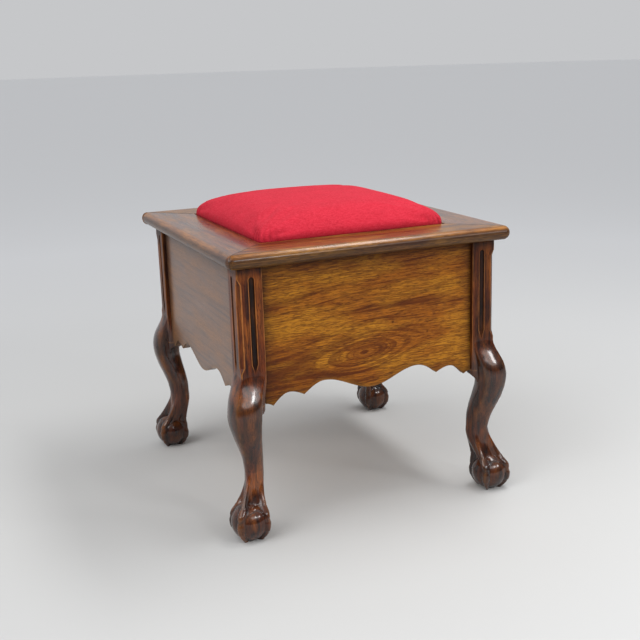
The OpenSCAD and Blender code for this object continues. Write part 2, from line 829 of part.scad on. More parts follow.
// Height of the cushion above the lid at shares u and v of its half sizes
function puff(u, v) =
    pow(max(1 - pow(abs(u), edge_power), 0), shoulder_power)
    * pow(max(1 - pow(abs(v), edge_power), 0), shoulder_power);
function crown(u, v) = (1 - u * u) * (1 - v * v);
function seat_height(u, v) = seat_edge_h * puff(u, v) + seat_crown_h * crown(u, v);

// Rings of the dome from its edge to its middle, drawn in by an inset
function dome_z(u, v, inset) = side_lift + seat_height(u, v) * (seat_edge_h - inset) / seat_edge_h;
function dome_ring(share, inset) =
    let (x = cover_x - inset, y = cover_y - inset)
    [for (p = seat_rim(x * share, y * share, seat_corner_r * share))
        [p[0], p[1], dome_z(p[0] / x, p[1] / y, inset)]];
function dome_peak(inset) = [0, 0, dome_z(0, 0, inset)];
function level_ring(inset, z, swell) =
    let (x = cover_x - inset, y = cover_y - inset)
    [for (p = seat_rim(x, y, seat_corner_r))
        let (wide = swell * (1 - pow(p[1] / y, 2)), deep = swell * (1 - pow(p[0] / x, 2)))
        [p[0] + sign(p[0]) * wide * pow(abs(p[0] / x), edge_power),
         p[1] + sign(p[1]) * deep * pow(abs(p[1] / y), edge_power), z]];

// Shares of the half size at which the dome has its rings, edge first
function dome_share(i) = cos(90 * i / dome_rings);
side_lift = lid_top_h + joint_clear + cover_t;
// Ring of the swollen side, halfway up to the first ring of the dome
function swell_ring(inset) =
    let (side = level_ring(inset, side_lift, seat_bulge), first = dome_ring(dome_share(1), inset))
    [for (i = [0 : seat_columns - 1]) [side[i][0], side[i][1], (side_lift + first[i][2]) / 2]];

function dome(inset) = [for (i = [1 : dome_rings - 1]) dome_ring(dome_share(i), inset)];
function swelled(rings) = [for (ring = rings) [for (p = ring)
    let (near = 1 - pow(min((p[2] - side_lift) / seat_edge_h, 1), 2),
         u = p[0] / cover_x, v = p[1] / cover_y)
    [p[0] + sign(p[0]) * seat_bulge * near * (1 - v * v) * pow(abs(u), edge_power),
     p[1] + sign(p[1]) * seat_bulge * near * (1 - u * u) * pow(abs(v), edge_power),
     p[2]]]];

module seat_cover() {
    outer = concat(
        [level_ring(flap_w, cover_foot, 0), level_ring(0, cover_foot, 0),
         level_ring(0, side_lift - cover_t, 0), swell_ring(0)],
        swelled(dome(0)));
    inner = concat(
        swelled([for (i = [dome_rings - 1 : -1 : 1]) dome_ring(dome_share(i), cover_t)]),
        [swell_ring(cover_t),
         level_ring(cover_t, side_lift - cover_t, 0),
         level_ring(cover_t, cover_foot + cover_t, 0), level_ring(flap_w, cover_foot + cover_t, 0)]);
    color(red_cloth)
        with_lid()
            cushion_shell(outer, inner);
}

// Closed shell from an outer and an inner run of rings that start and end at
// the same hole, with a fan at the top of each
module cushion_shell(outer, inner) {
    cols = seat_columns;
    rows = len(outer) + len(inner);
    all_rings = concat(outer, inner);
    outer_top = len(outer) - 1;
    inner_top = len(outer);
    peak = rows * cols;
    function strip(j, k) = [for (i = [0 : cols - 1], half = [0, 1])
        let (n = (i + 1) % cols)
        half == 0 ? [j * cols + i, k * cols + i, j * cols + n]
        : [k * cols + i, k * cols + n, j * cols + n]];
    polyhedron(
        points = concat([for (ring = all_rings, p = ring) p], [dome_peak(0), dome_peak(cover_t)]),
        faces = concat(
            [for (j = [0 : outer_top - 1], f = strip(j, j + 1)) f],
            [for (i = [0 : cols - 1]) [outer_top * cols + i, peak, outer_top * cols + (i + 1) % cols]],
            [for (j = [inner_top : rows - 2], f = strip(j, j + 1)) f],
            [for (i = [0 : cols - 1]) [inner_top * cols + (i + 1) % cols, peak + 1, inner_top * cols + i]],
            strip(rows - 1, 0)),
        convexity = 8);
}

module seat_padding() {
    inset = cover_t + cover_gap;
    rings = concat(
        [level_ring(inset, board_top + joint_clear, 0), level_ring(inset, side_lift - cover_t, 0),
         swell_ring(inset)],
        swelled(dome(inset)));
    color(stuffing)
        with_lid()
            skin(rings, dome_peak(inset));
}

module seat_board() {
    gap = cover_t + cover_gap;
    color(pale_pine)
        with_lid()
            difference() {
                translate([0, 0, board_foot])
                    linear_extrude(seat_board_t)
                        polygon(seat_rim(cover_x - gap, cover_y - gap, seat_corner_r));
                seat_screw_holes();
                tack_holes(board_foot + tack_l);
            }
}

// Triangular blocks in the corners of the ledge, and screws up into the board
block_l = 46;
block_screw = 19;
block_t = ledge_t;
seat_screw_l = 16;
in_x = open_x - ledge_w;
in_y = open_y - ledge_w;

module at_seat_corners() {
    for (x = [-1, 1], y = [-1, 1])
        translate([x * in_x, y * in_y, lid_foot])
            mirrored(x, y)
                children();
}

module seat_screw_holes() {
    at_seat_corners()
        translate([-block_screw, -block_screw, 0])
            wood_screw_hole(seat_screw_l);
}

module seat_corner_blocks() {
    color(pale_pine)
        with_lid()
            difference() {
                at_seat_corners()
                    linear_extrude(block_t)
                        polygon([
                            [-joint_clear, -joint_clear], [-block_l, -joint_clear],
                            [-joint_clear, -block_l]
                        ]);
                seat_screw_holes();
            }
}

module seat_screws() {
    color(steel)
        with_lid()
            at_seat_corners()
                translate([-block_screw, -block_screw, joint_clear])
                    wood_screw(seat_screw_l - joint_clear);
}

// Dust cloth under the seat, cut off at its corners to clear the blocks
dust_t = 0.8;
dust_gap = 3;
tack_l = 6;
tack_d = 1.8;
tack_head_d = 7;
tack_head_t = 1;
tack_inset = 12;
tacks_per_side = 4;
tack_span_share = 0.5;

module at_tacks() {
    x = in_x - dust_gap - tack_inset;
    y = in_y - dust_gap - tack_inset;
    for (i = [0 : tacks_per_side - 1], side = [-1, 1])
        let (t = tack_span_share * (2 * i / (tacks_per_side - 1) - 1)) {
            translate([side * x, y * t, cover_foot])
                children();
            translate([x * t, side * y, cover_foot])
                children();
        }
}

module tack_holes(top_z) {
    at_tacks()
        translate([0, 0, -dust_t - cut_run])
            cylinder(h = top_z + dust_t + cut_run - cover_foot, d = tack_d + 2 * joint_clear, $fn = 16);
}

module seat_dust_cloth() {
    x = in_x - dust_gap;
    y = in_y - dust_gap;
    cut = block_l;
    color(black_cloth)
        with_lid()
            difference() {
                translate([0, 0, cover_foot - dust_t])
                    linear_extrude(dust_t)
                        polygon([
                            [-x + cut, -y], [x - cut, -y], [x, -y + cut], [x, y - cut],
                            [x - cut, y], [-x + cut, y], [-x, y - cut], [-x, -y + cut]
                        ]);
                tack_holes(cover_foot + cut_run);
            }
}

module dust_cloth_tacks() {
    color(steel)
        with_lid()
            at_tacks() {
                translate([0, 0, -dust_t - tack_head_t])
                    cylinder(h = tack_head_t, d = tack_head_d, $fn = 16);
                translate([0, 0, -dust_t])
                    cylinder(h = dust_t + board_foot - cover_foot + tack_l - joint_clear,
                             d = tack_d, $fn = 16);
            }
}

front_left_leg();
front_right_leg();
back_left_leg();
back_right_leg();
front_panel();
back_panel();
left_panel();
right_panel();
floor_board();
front_cleat();
back_cleat();
left_cleat();
right_cleat();
shoe_rest_base();
shoe_rest_heel_upright();
shoe_rest_toe_upright();
shoe_rest_heel_pad();
shoe_rest_sole_plate();
shoe_rest_screws();
left_hinge_case_leaf();
right_hinge_case_leaf();
left_hinge_lid_leaf();
right_hinge_lid_leaf();
hinge_pins();
hinge_case_screws();
hinge_lid_screws();
lid_front_rail();
lid_back_rail();
lid_left_rail();
lid_right_rail();
lid_mitre_splines();
seat_corner_blocks();
seat_screws();
seat_board();
seat_padding();
seat_cover();
seat_dust_cloth();
dust_cloth_tacks();
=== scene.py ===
# Lidded footstool on ball-and-claw legs: carved woodwork, finishes and the sewn seat
import math
from functools import partial

import bmesh
import bpy
import numpy as np
from mathutils import Matrix, Vector


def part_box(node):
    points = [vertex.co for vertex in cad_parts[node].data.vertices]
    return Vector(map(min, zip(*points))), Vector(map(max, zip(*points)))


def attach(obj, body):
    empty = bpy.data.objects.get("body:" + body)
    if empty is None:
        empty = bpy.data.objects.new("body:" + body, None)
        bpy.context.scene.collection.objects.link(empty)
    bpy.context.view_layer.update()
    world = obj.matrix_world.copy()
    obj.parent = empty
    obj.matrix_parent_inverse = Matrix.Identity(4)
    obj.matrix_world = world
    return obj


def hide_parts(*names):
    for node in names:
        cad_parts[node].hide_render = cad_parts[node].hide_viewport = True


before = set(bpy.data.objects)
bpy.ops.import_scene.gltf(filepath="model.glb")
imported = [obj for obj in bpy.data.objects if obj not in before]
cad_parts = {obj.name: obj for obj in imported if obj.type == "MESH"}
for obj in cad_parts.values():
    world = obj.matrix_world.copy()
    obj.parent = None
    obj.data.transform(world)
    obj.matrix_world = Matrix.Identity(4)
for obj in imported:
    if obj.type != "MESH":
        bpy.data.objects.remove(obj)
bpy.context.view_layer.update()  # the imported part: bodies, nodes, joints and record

mm = 0.001  # sizes below are millimetres, Blender works in metres
half = math.sqrt(0.5)  # cosine of 45 degrees
tiny = 1e-9  # keeps a division away from zero
print("frame loaded")


# Curves, grids and meshes

def smoothStep(t):
    t = np.clip(t, 0, 1)
    return t * t * (3 - 2 * t)


def above(z, foot, over):  # 0 up to the foot, then growing to 1 over that stretch
    return smoothStep((z - foot) / over)


def below(z, top, over):  # 0 down to the top, then growing to 1 over that stretch
    return smoothStep((top - z) / over)


def hill(x, at, width):  # 1 at its place, fading to both sides
    return np.exp(-((x - at) / width) ** 2)


def shade(away, weight, reach):  # darkening that fades with the distance from an edge: painted shade with some grime at the panels' edges, painted shade at the seat's foot, and real dark grime in the rails' mitres
    return weight * np.exp(-away / reach)


def between(start, end, count):  # evenly spaced values without the two ends
    return np.linspace(start, end, count + 2)[1:-1]


def curveAt(table, at):  # smooth curve through (place, value) pairs that never overshoots them
    x, y = np.array(sorted(table), float).T
    gap = np.diff(x)
    slope = np.diff(y) / gap
    tangent = np.concatenate([slope[:1], np.zeros(len(x) - 2), slope[-1:]])
    for i in range(1, len(x) - 1):
        if slope[i - 1] * slope[i] > 0:
            tangent[i] = 2 * slope[i - 1] * slope[i] / (slope[i - 1] + slope[i])
    i = np.clip(np.searchsorted(x, at) - 1, 0, len(x) - 2)
    t = np.clip((at - x[i]) / gap[i], 0, 1)
    a, b = t * t * (3 - 2 * t), t * (1 - t)
    return y[i] * (1 - a) + y[i + 1] * a + gap[i] * b * (tangent[i] * (1 - t) - tangent[i + 1] * t)


def bandFaces(rows, columns):  # quads between neighbouring closed rows of points, and the two ends
    j, i = np.meshgrid(np.arange(rows - 1), np.arange(columns), indexing="ij")
    k = (i + 1) % columns
    quads = np.stack([j * columns + i, j * columns + k, (j + 1) * columns + k, (j + 1) * columns + i], -1)
    ends = [list(range(columns)), list(range((rows - 1) * columns, rows * columns))]
    return quads.reshape(-1, 4).tolist() + ends


def addObject(name, data):
    made = bpy.data.objects.new(name, data)
    bpy.context.scene.collection.objects.link(made)
    return made


def paint(mesh, key, values):
    mesh.attributes.new(key, "FLOAT", "POINT").data.foreach_set("value", values.astype(np.float32))


def makePiece(name, rows, faces, turn=0, move=(0, 0, 0), merge=0, sharp=0):
    # The rows are x, y and z in millimetres, and then wear and grime where the piece is painted with them;
    # these also carry painted highlight and painted shade
    rows = np.array(rows, float)
    spin = np.array(Matrix.Rotation(math.radians(turn), 3, "Z"))
    mesh = bpy.data.meshes.new(name)
    mesh.from_pydata(((rows[:, :3] @ spin.T + np.array(move)) * mm).tolist(), [], faces)
    for key, values in zip(("wearAndHighlight", "grimeAndShade"), rows.T[3:]):
        paint(mesh, key, values)
    work = bmesh.new()
    work.from_mesh(mesh)
    if merge:
        bmesh.ops.remove_doubles(work, verts=work.verts, dist=merge * mm)
        bmesh.ops.dissolve_degenerate(work, edges=work.edges, dist=merge * mm)
    bmesh.ops.recalc_face_normals(work, faces=work.faces)
    work.to_mesh(mesh)
    work.free()
    mesh.polygons.foreach_set("use_smooth", np.ones(len(mesh.polygons), bool))
    if sharp:
        mesh.set_sharp_from_angle(angle=math.radians(sharp))
    return addObject(name, mesh)


def finishPiece(piece, body, material, nodes):
    piece.data.materials.clear()
    piece.data.materials.append(material)
    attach(piece, body)
    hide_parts(*nodes)


# Materials

def hexColor(text):  # sRGB hex to the linear colour that a socket takes
    parts = [int(text[i:i + 2], 16) / 255 for i in (1, 3, 5)]
    return tuple(p / 12.92 if p <= 0.04045 else ((p + 0.055) / 1.055) ** 2.4 for p in parts) + (1,)


def addNode(tree, kind, inputs=(), **settings):  # inputs by name, or in the order of the sockets
    made = tree.nodes.new("ShaderNode" + kind)
    for key, value in settings.items():
        setattr(made, key, value)
    for key, value in inputs.items() if isinstance(inputs, dict) else enumerate(inputs):
        if isinstance(value, bpy.types.NodeSocket):
            tree.links.new(value, made.inputs[key])
        else:
            made.inputs[key].default_value = hexColor(value) if isinstance(value, str) else value
    return made.outputs


def newMaterial(name):
    material = bpy.data.materials.new(name)
    material.use_nodes = True
    material.node_tree.nodes.clear()
    return material, partial(addNode, material.node_tree)


def grainSpace(add, axis, figure=None):
    # A vector whose X runs along the grain and whose Y and Z run across it, in metres
    split = add("SeparateXYZ", [add("TexCoord")["Object"]])
    along, across, through = {"X": (0, 2, 1), "Y": (1, 2, 0), "Z": (2, 0, 1)}[axis]
    first, second = split[along], split[across]
    if figure:  # rings of the log cut at a shallow angle: closed eyes that open into level lines
        turn = math.radians(figure["slope"])
        x = add("Math", [first, figure["centre"][0] * mm], operation="SUBTRACT")[0]
        z = add("Math", [second, figure["centre"][1] * mm], operation="SUBTRACT")[0]
        fall = add("Math", [x, math.sin(turn)], operation="MULTIPLY")[0]
        rise = add("Math", [z, math.cos(turn)], operation="MULTIPLY")[0]
        level = add("Math", [rise, fall], operation="SUBTRACT")[0]
        share = add("Math", [x, figure["length"] * mm], operation="DIVIDE")[0]
        spread = add("Math", [share, share], operation="MULTIPLY")[0]
        fade = add("Math", [add("Math", [spread, -1.0], operation="MULTIPLY")[0]], operation="EXPONENT")[0]
        opened = add("Math", [1.0, fade], operation="SUBTRACT")[0]
        pinch = add("Math", [opened, (figure["height"] * mm) ** 2], operation="MULTIPLY")[0]
        squared = add("Math", [level, level], operation="MULTIPLY")[0]
        second = add("Math", [add("Math", [squared, pinch], operation="ADD")[0]], operation="SQRT")[0]
    return add("CombineXYZ", [first, second, split[through]])[0]


def growthLines(add, space, bands, figure):  # thin lines round the eye, fading where the figure opens
    ring = add("SeparateXYZ", [space])[1]
    turns = add("Math", [ring, 2 * math.pi / (figure["ringGap"] * mm)], operation="MULTIPLY")[0]
    bend = add("Math", [bands, figure["ringBend"]], operation="MULTIPLY")[0]
    wave = add("Math", [add("Math", [turns, bend], operation="ADD")[0]], operation="SINE")[0]
    ends = [share * figure["height"] * mm for share in figure["fadeShares"]]
    near = add("MapRange", [ring, *ends, 1.0, figure["farShare"]])[0]
    line = add("MapRange", [wave, *figure["lineRange"], 0.0, figure["ringShare"]])[0]
    return add("Math", [line, near], operation="MULTIPLY")[0]


def noisePatterns(add, look, space, special):
    # Each noise that the look names, with spots of its length along the grain and its width across it
    made = {}
    for key, (detail, roughness, step) in look["noises"].items():
        along, across = (1 / (size * mm) for size in look[key])
        placed = add("Mapping", {"Vector": special.get(key, space), "Scale": (along, across, across),
                                 "Location": (look["shift"] + step,) * 3})[0]
        made[key] = add("TexNoise", {
            "Vector": placed, "Scale": 1.0, "Detail": detail, "Roughness": roughness})[0]
    return made


def layered(add, color, layers):  # each colour lies over the ones before it by its share
    for share, over in layers:  # a mix of colours has them in its sockets 6 and 7, and gives its output 2
        color = add("Mix", {0: share, 6: color, 7: over}, data_type="RGBA")[2]
    return color


# Looks: a pattern is a length along and a width across the grain, roughness goes from the smoother to the
# rougher patches, and depth is the relief's. A Range is where in its noise a pattern starts and is full.
sharedWood = dict(
    figure=None, knots=[], waxed=None, rub=(26, 9),
    noises={  # detail, roughness and a shift that keeps the patterns apart
        "bands": (3.0, 0.55, 0), "fine": (2.0, 0.6, 3), "pores": (1.0, 0.5, 5), "clouds": (2.0, 0.5, 9),
        "rub": (3.0, 0.6, 13)},
    bandRange=(0.36, 0.62), fineRange=(0.42, 0.62), poreEdge=0.07, knotCore=0.25, knotShare=0.75,
    rubRange=(0.36, 0.6), leastWearAndHighlight=0.25, grimeAndShadeRange=(0.3, 0.7), grimeAndShadeShares=(0.95, 0.7), grimeAndShadeRoughness=0.3,
    roughRange=(0.3, 0.7), rubHeight=0.4, depth=0.25, ior=1.5)


def polishedWood(look):
    # Open-pored hardwood under French polish: dark pores and growth bands below a clear, slightly worn gloss
    material, add = newMaterial(look["name"])
    figured = grainSpace(add, look["axis"], look["figure"])
    noise = noisePatterns(add, look, grainSpace(add, look["axis"]), {"bands": figured})
    bandShare = add("MapRange", [noise["bands"], *look["bandRange"]])[0]
    cloudShare = add("MapRange", [noise["clouds"], *look["cloudRange"], 0.0, look["cloudShare"]])[0]
    layers = [(bandShare, look["mid"]), (cloudShare, look["light"])]
    if look["figure"]:
        layers.append((growthLines(add, figured, noise["bands"], look["figure"]), look["dark"]))
    fineShare = add("MapRange", [noise["fine"], *look["fineRange"], 0.0, look["fineShare"]])[0]
    pore = add("MapRange", [noise["pores"], look["poreStart"], look["poreStart"] + look["poreEdge"]])[0]
    poreShare = add("Math", [pore, look["poreShare"]], operation="MULTIPLY")[0]
    layers += [(fineShare, look["dark"]), (poreShare, look["pore"])]
    here = add("TexCoord")["Object"]
    for place, size in look["knots"]:
        away = add("VectorMath", [here, Vector(place) * mm], operation="DISTANCE")["Value"]
        spot = add("MapRange", [away, size * look["knotCore"] * mm, size * mm, look["knotShare"], 0.0])[0]
        layers.append((spot, look["pore"]))
    wearAndHighlight = add("Attribute", attribute_name="wearAndHighlight")["Fac"]
    grimeAndShade = add("Attribute", attribute_name="grimeAndShade")["Fac"]
    least = look["wearAndHighlightShare"] * look["leastWearAndHighlight"]
    wearAndHighlightMost = add("MapRange", [noise["rub"], *look["rubRange"], least, look["wearAndHighlightShare"]])[0]
    grimeAndShadeMost = add("MapRange", [noise["rub"], *look["grimeAndShadeRange"], *look["grimeAndShadeShares"]])[0]
    # the worn colour is also the painted highlight along the knee block's bottom edge
    layers.append((add("Math", [wearAndHighlight, wearAndHighlightMost], operation="MULTIPLY")[0], look["wornAndHighlight"]))
    # the grime colour covers real grime and stains, and also painted shade in recesses, creases, under
    # overhangs and on whole legs
    layers.append((add("Math", [grimeAndShade, grimeAndShadeMost], operation="MULTIPLY")[0], look["grimeAndShade"]))
    dulled = add("Math", [grimeAndShade, look["grimeAndShadeRoughness"]], operation="MULTIPLY")[0]
    patchy = add("MapRange", [noise["clouds"], *look["roughRange"], *look["roughness"]])[0]
    rough = add("Math", [patchy, dulled], operation="ADD")[0]
    swell = add("Math", [noise["rub"], look["rubHeight"]], operation="MULTIPLY")[0]
    height = add("Math", [swell, pore], operation="SUBTRACT")[0]
    relief = add("Bump", {"Strength": look["bump"], "Distance": look["depth"] * mm, "Height": height})[0]
    coat = look["coat"]
    if look["waxed"]:  # the carving below was waxed again, the posts above are rubbed duller
        low, high, lowCoat = look["waxed"]
        level = add("SeparateXYZ", [here])[2]
        coat = add("MapRange", [level, low * mm, high * mm, lowCoat, coat])[0]
    shader = add("BsdfPrincipled", {
        "Base Color": layered(add, look["dark"], layers), "Roughness": rough, "IOR": look["ior"],
        "Specular IOR Level": look["specular"], "Normal": relief, "Coat Weight": coat,
        "Coat Roughness": look["coatRoughness"], "Coat IOR": look["ior"]})
    add("OutputMaterial", [shader[0]])
    return material


legWood = dict(
    sharedWood, name="frenchPolishedMahoganyDark", axis="Z", shift=2.0,
    dark="#2a1109", mid="#6c3110", light="#ab5e1e", pore="#140806", wornAndHighlight="#bd7a3c", grimeAndShade="#0f0705",
    bands=(120, 7), fine=(40, 1.6), fineShare=0.5,
    pores=(9, 0.9), poreStart=0.58, poreShare=0.6, clouds=(60, 20), cloudRange=(0.46, 0.64), cloudShare=0.55,
    wearAndHighlightShare=0.85, roughness=(0.25, 0.37), bump=0.12, specular=0.08, coat=0.22, coatRoughness=0.14,
    waxed=(232, 262, 1.0))  # full coat up to the first height, the plain one from the second
frontWood = dict(
    sharedWood, name="frenchPolishedMahoganyFigured", axis="X", shift=0.0,
    figure=dict(centre=(-12, 264), length=84, height=30, slope=6, ringGap=8.5, ringShare=0.6, ringBend=16.0,
                fadeShares=(0.8, 1.5), farShare=0.25, lineRange=(0.1, 0.9)),
    knots=[((37, -216.5, 305), 3.2), ((97, -216.5, 282), 2.6)],  # place and size
    dark="#5d2c09", mid="#a05e16", light="#bf8120", pore="#33160a", wornAndHighlight="#c48c46", grimeAndShade="#1c0d07",
    bands=(190, 5.5), bandRange=(0.36, 0.52), fine=(20, 1.2), fineShare=0.72,
    pores=(8, 1.0), poreStart=0.53, poreShare=0.5, clouds=(110, 34), cloudRange=(0.42, 0.62), cloudShare=0.75,
    wearAndHighlightShare=0.7, roughness=(0.31, 0.43), bump=0.3, specular=0.08, coat=0.12, coatRoughness=0.18)
sideWood = dict(
    frontWood, name="frenchPolishedMahoganySides", axis="Y", figure=None, knots=[], shift=4.0,
    dark="#4e2b14", mid="#6f4520", light="#8b5b2b", poreShare=0.28, fineShare=0.42, specular=0.5, coat=0.45)
lidWood = dict(
    sharedWood, name="frenchPolishedMahoganyLidY", axis="Y", shift=1.0,
    dark="#43200d", mid="#7f4a1e", light="#a56e32", pore="#2a120a", wornAndHighlight="#b67a44", grimeAndShade="#140a06",
    bands=(240, 8), fine=(36, 1.7), fineShare=0.55,
    pores=(14, 1.4), poreStart=0.52, poreShare=0.5, clouds=(90, 26), cloudRange=(0.45, 0.65), cloudShare=0.5,
    wearAndHighlightShare=0.6, roughness=(0.25, 0.37), bump=0.22, specular=0.35, coat=0.5, coatRoughness=0.1)
lidFrontWood = dict(  # the front edge is handled most and duller
    lidWood, name="frenchPolishedMahoganyLidX", axis="X", dark="#48240e", mid="#8e5a1e", light="#b07c32",
    specular=0.12, coat=0.4, coatRoughness=0.2)
pineWood = dict(
    sharedWood, shift=6.0,
    dark="#8f6034", mid="#bd8f58", light="#cfa56e", pore="#7a4d28", wornAndHighlight="#d8b684", grimeAndShade="#4a3018",
    bands=(420, 6), bandRange=(0.35, 0.6), fine=(180, 1.2), fineShare=0.2,
    pores=(14, 0.7), poreStart=0.66, poreShare=0.3, clouds=(160, 40), cloudRange=(0.4, 0.7), cloudShare=0.6,
    wearAndHighlightShare=0.4, roughness=(0.53, 0.65), bump=0.3, specular=0.4, coat=0.0, coatRoughness=0.3)


def agedMetal(look):
    # Cast or drawn metal, handled and dulled: bare highlights with brown tarnish in patches
    material, add = newMaterial(look["name"])
    noise = noisePatterns(add, look, grainSpace(add, "X"), {})
    share = add("MapRange", [noise["patches"], *look["tarnishRange"], 0.0, look["tarnishShare"]])[0]
    rough = add("MapRange", [noise["patches"], *look["roughRange"], *look["roughness"]])[0]
    relief = add("Bump", {
        "Strength": look["bump"], "Distance": look["depth"] * mm, "Height": noise["scratches"]})[0]
    shader = add("BsdfPrincipled", {
        "Base Color": layered(add, look["clean"], [(share, look["tarnish"])]), "Metallic": 1.0,
        "Roughness": rough, "Normal": relief})
    add("OutputMaterial", [shader[0]])
    return material


brassLook = dict(
    name="drawnBrassTarnished", shift=1.0, clean="#c9a24a", tarnish="#5e4420", roughness=(0.26, 0.5),
    patches=(9, 9), scratches=(14, 0.4), noises={"patches": (4.0, 0.6, 0), "scratches": (2.0, 0.6, 2)},
    tarnishRange=(0.42, 0.68), tarnishShare=0.75, roughRange=(0.3, 0.7), bump=0.25, depth=0.05)
steelLook = dict(
    brassLook, name="turnedSteelDull", shift=3.0, clean="#a6a8ab", tarnish="#55504a",
    roughness=(0.32, 0.56))


def wovenCloth(look):
    # Plain woven cotton: crossing threads break the light into a soft matt surface with faint slubs
    material, add = newMaterial(look["name"])
    noise = noisePatterns(add, look, grainSpace(add, "X"), {"threads": grainSpace(add, "Y")})
    split = add("SeparateXYZ", [add("TexCoord")["Object"]])
    turns = 2 * math.pi / (look["thread"] * mm)
    waves = []
    for side, operation in ((0, "ADD"), (1, "SUBTRACT")):  # warp and weft, both carried on down the sides
        across = add("Math", [split[side], split[2]], operation=operation)[0]
        angle = add("Math", [across, turns], operation="MULTIPLY")[0]
        waves.append(add("Math", [angle], operation="SINE")[0])
    weave = add("Math", waves, operation="MULTIPLY")[0]
    mottle = add("Math", [noise["slubs"], noise["threads"]], operation="MULTIPLY")[0]
    # on the seat, the grime mask is painted shade, in the pleats and at the seat's foot
    grimeAndShade = add("Attribute", attribute_name="grimeAndShade")["Fac"]
    layers = [
        (add("MapRange", [noise["clouds"], *look["cloudRange"]])[0], look["mid"]),
        (add("MapRange", [mottle, *look["mottleRange"], 0.0, look["mottle"]])[0], look["light"]),
        (add("MapRange", [weave, -1.0, 1.0, look["weaveShade"], 0.0])[0], look["shade"]),
        (add("Math", [grimeAndShade, look["grimeAndShadeShare"]], operation="MULTIPLY")[0], look["shade"])]
    raised = add("Math", [weave, look["weaveHeight"]], operation="MULTIPLY")[0]
    height = add("Math", [raised, mottle], operation="ADD")[0]
    relief = add("Bump", {"Strength": look["bump"], "Distance": look["depth"] * mm, "Height": height})[0]
    shader = add("BsdfPrincipled", {
        "Base Color": layered(add, look["dark"], layers), "Roughness": look["roughness"], "IOR": look["ior"],
        "Specular IOR Level": look["specular"], "Sheen Weight": look["sheen"],
        "Sheen Roughness": look["sheenRoughness"], "Sheen Tint": look["light"], "Normal": relief})
    add("OutputMaterial", [shader[0]])
    return material


redLook = dict(  # threads drawn at 1.3 mm, about twice their real spacing, so that they show
    name="wovenCottonRed", thread=1.3, dark="#b21a2c", mid="#bf1e32", light="#d3384a", shade="#6a0a16",
    mottle=0.6, mottleRange=(0.16, 0.36), weaveShade=0.2, weaveHeight=0.5, bump=0.45, depth=0.3, shift=0,
    slubs=(6, 2), threads=(5, 1.8), clouds=(38, 30), cloudRange=(0.3, 0.7), grimeAndShadeShare=0.8,
    noises={"slubs": (3.0, 0.6, 1), "threads": (3.0, 0.6, 6), "clouds": (3.0, 0.55, 2)},
    roughness=0.9, ior=1.5, specular=0.2, sheen=0.08, sheenRoughness=0.5)
blackLook = dict(
    redLook, name="wovenCottonBlack", thread=1.5, dark="#1d1b1a", mid="#292625", light="#3a3634",
    shade="#0c0b0b", mottle=0.4, weaveShade=0.4, bump=0.4, sheen=0.1)

legMaterial, frontMaterial, sideMaterial = (polishedWood(look) for look in (legWood, frontWood, sideWood))
backMaterial = polishedWood(dict(sideWood, name="frenchPolishedMahoganyBack", axis="X", shift=7.0))
lidMaterials = {"X": polishedWood(lidFrontWood), "Y": polishedWood(lidWood)}
pineMaterials = {axis: polishedWood(dict(pineWood, name="planedPine" + axis, axis=axis)) for axis in "XY"}
restMaterial = polishedWood(dict(legWood, name="frenchPolishedMahoganyRest", axis="Y", shift=8.0, waxed=None))
brassMaterial, steelMaterial = agedMetal(brassLook), agedMetal(steelLook)
redMaterial, blackMaterial = wovenCloth(redLook), wovenCloth(blackLook)
print("materials made")


# Legs: post with chamfer and flutes, knee, ankle, ball and claw, carved from one piece

caseSize = {"width": 428, "depth": 447}
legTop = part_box("front_left_leg")[1].z / mm
postCut = dict(
    size=39, top=legTop, softEdge=0.6, kneeStart=254, sharpAngle=50, easedShare=0.985, easedHeight=0.2,
    chamfer=6, leastChamfer=0.9, chamferFoot=258, chamferTop=402.7, chamferStop=11, arris=0.42,
    fluteWidth=8.5, fluteDepthShare=0.85, fluteFoot=258, flutePoint=14, fluteHead=398.45, fluteLip=0.36,
    leastFlute=1, flatPoints=15, flutePoints=15, innerPoints=20,
    chamferGrime=[(0.5, 0.35), (0.25, 0.4)],  # share of the chamfer, and grime
    arrisWear=(0.5, 1, 0.8), innerWear=(0.5, 0.9, 0.4), mitreWear=0.2, innerGrimeAndShade=0.3, fluteShade=2.4,
    footShadeAndStain=0.8, footShadeAt=(251, 6), footShadeBeside=5, headShadeAndGrime=0.6, headShadeAndGrimeFrom=(401.45, 9),
    rows=[  # from, to and step of the heights at which a leg is drawn
        (0, 60, 0.8), (60, 104, 1.6), (104, 176, 3), (176, 198, 2), (198, 204.01, 0.75), (206, 254, 2),
        (254, 273, 1), (278, 388, 11), (391, 403.5, 0.9), (405, legTop - 1, 4),
        (legTop - 0.5, legTop + 0.2, 0.5)])
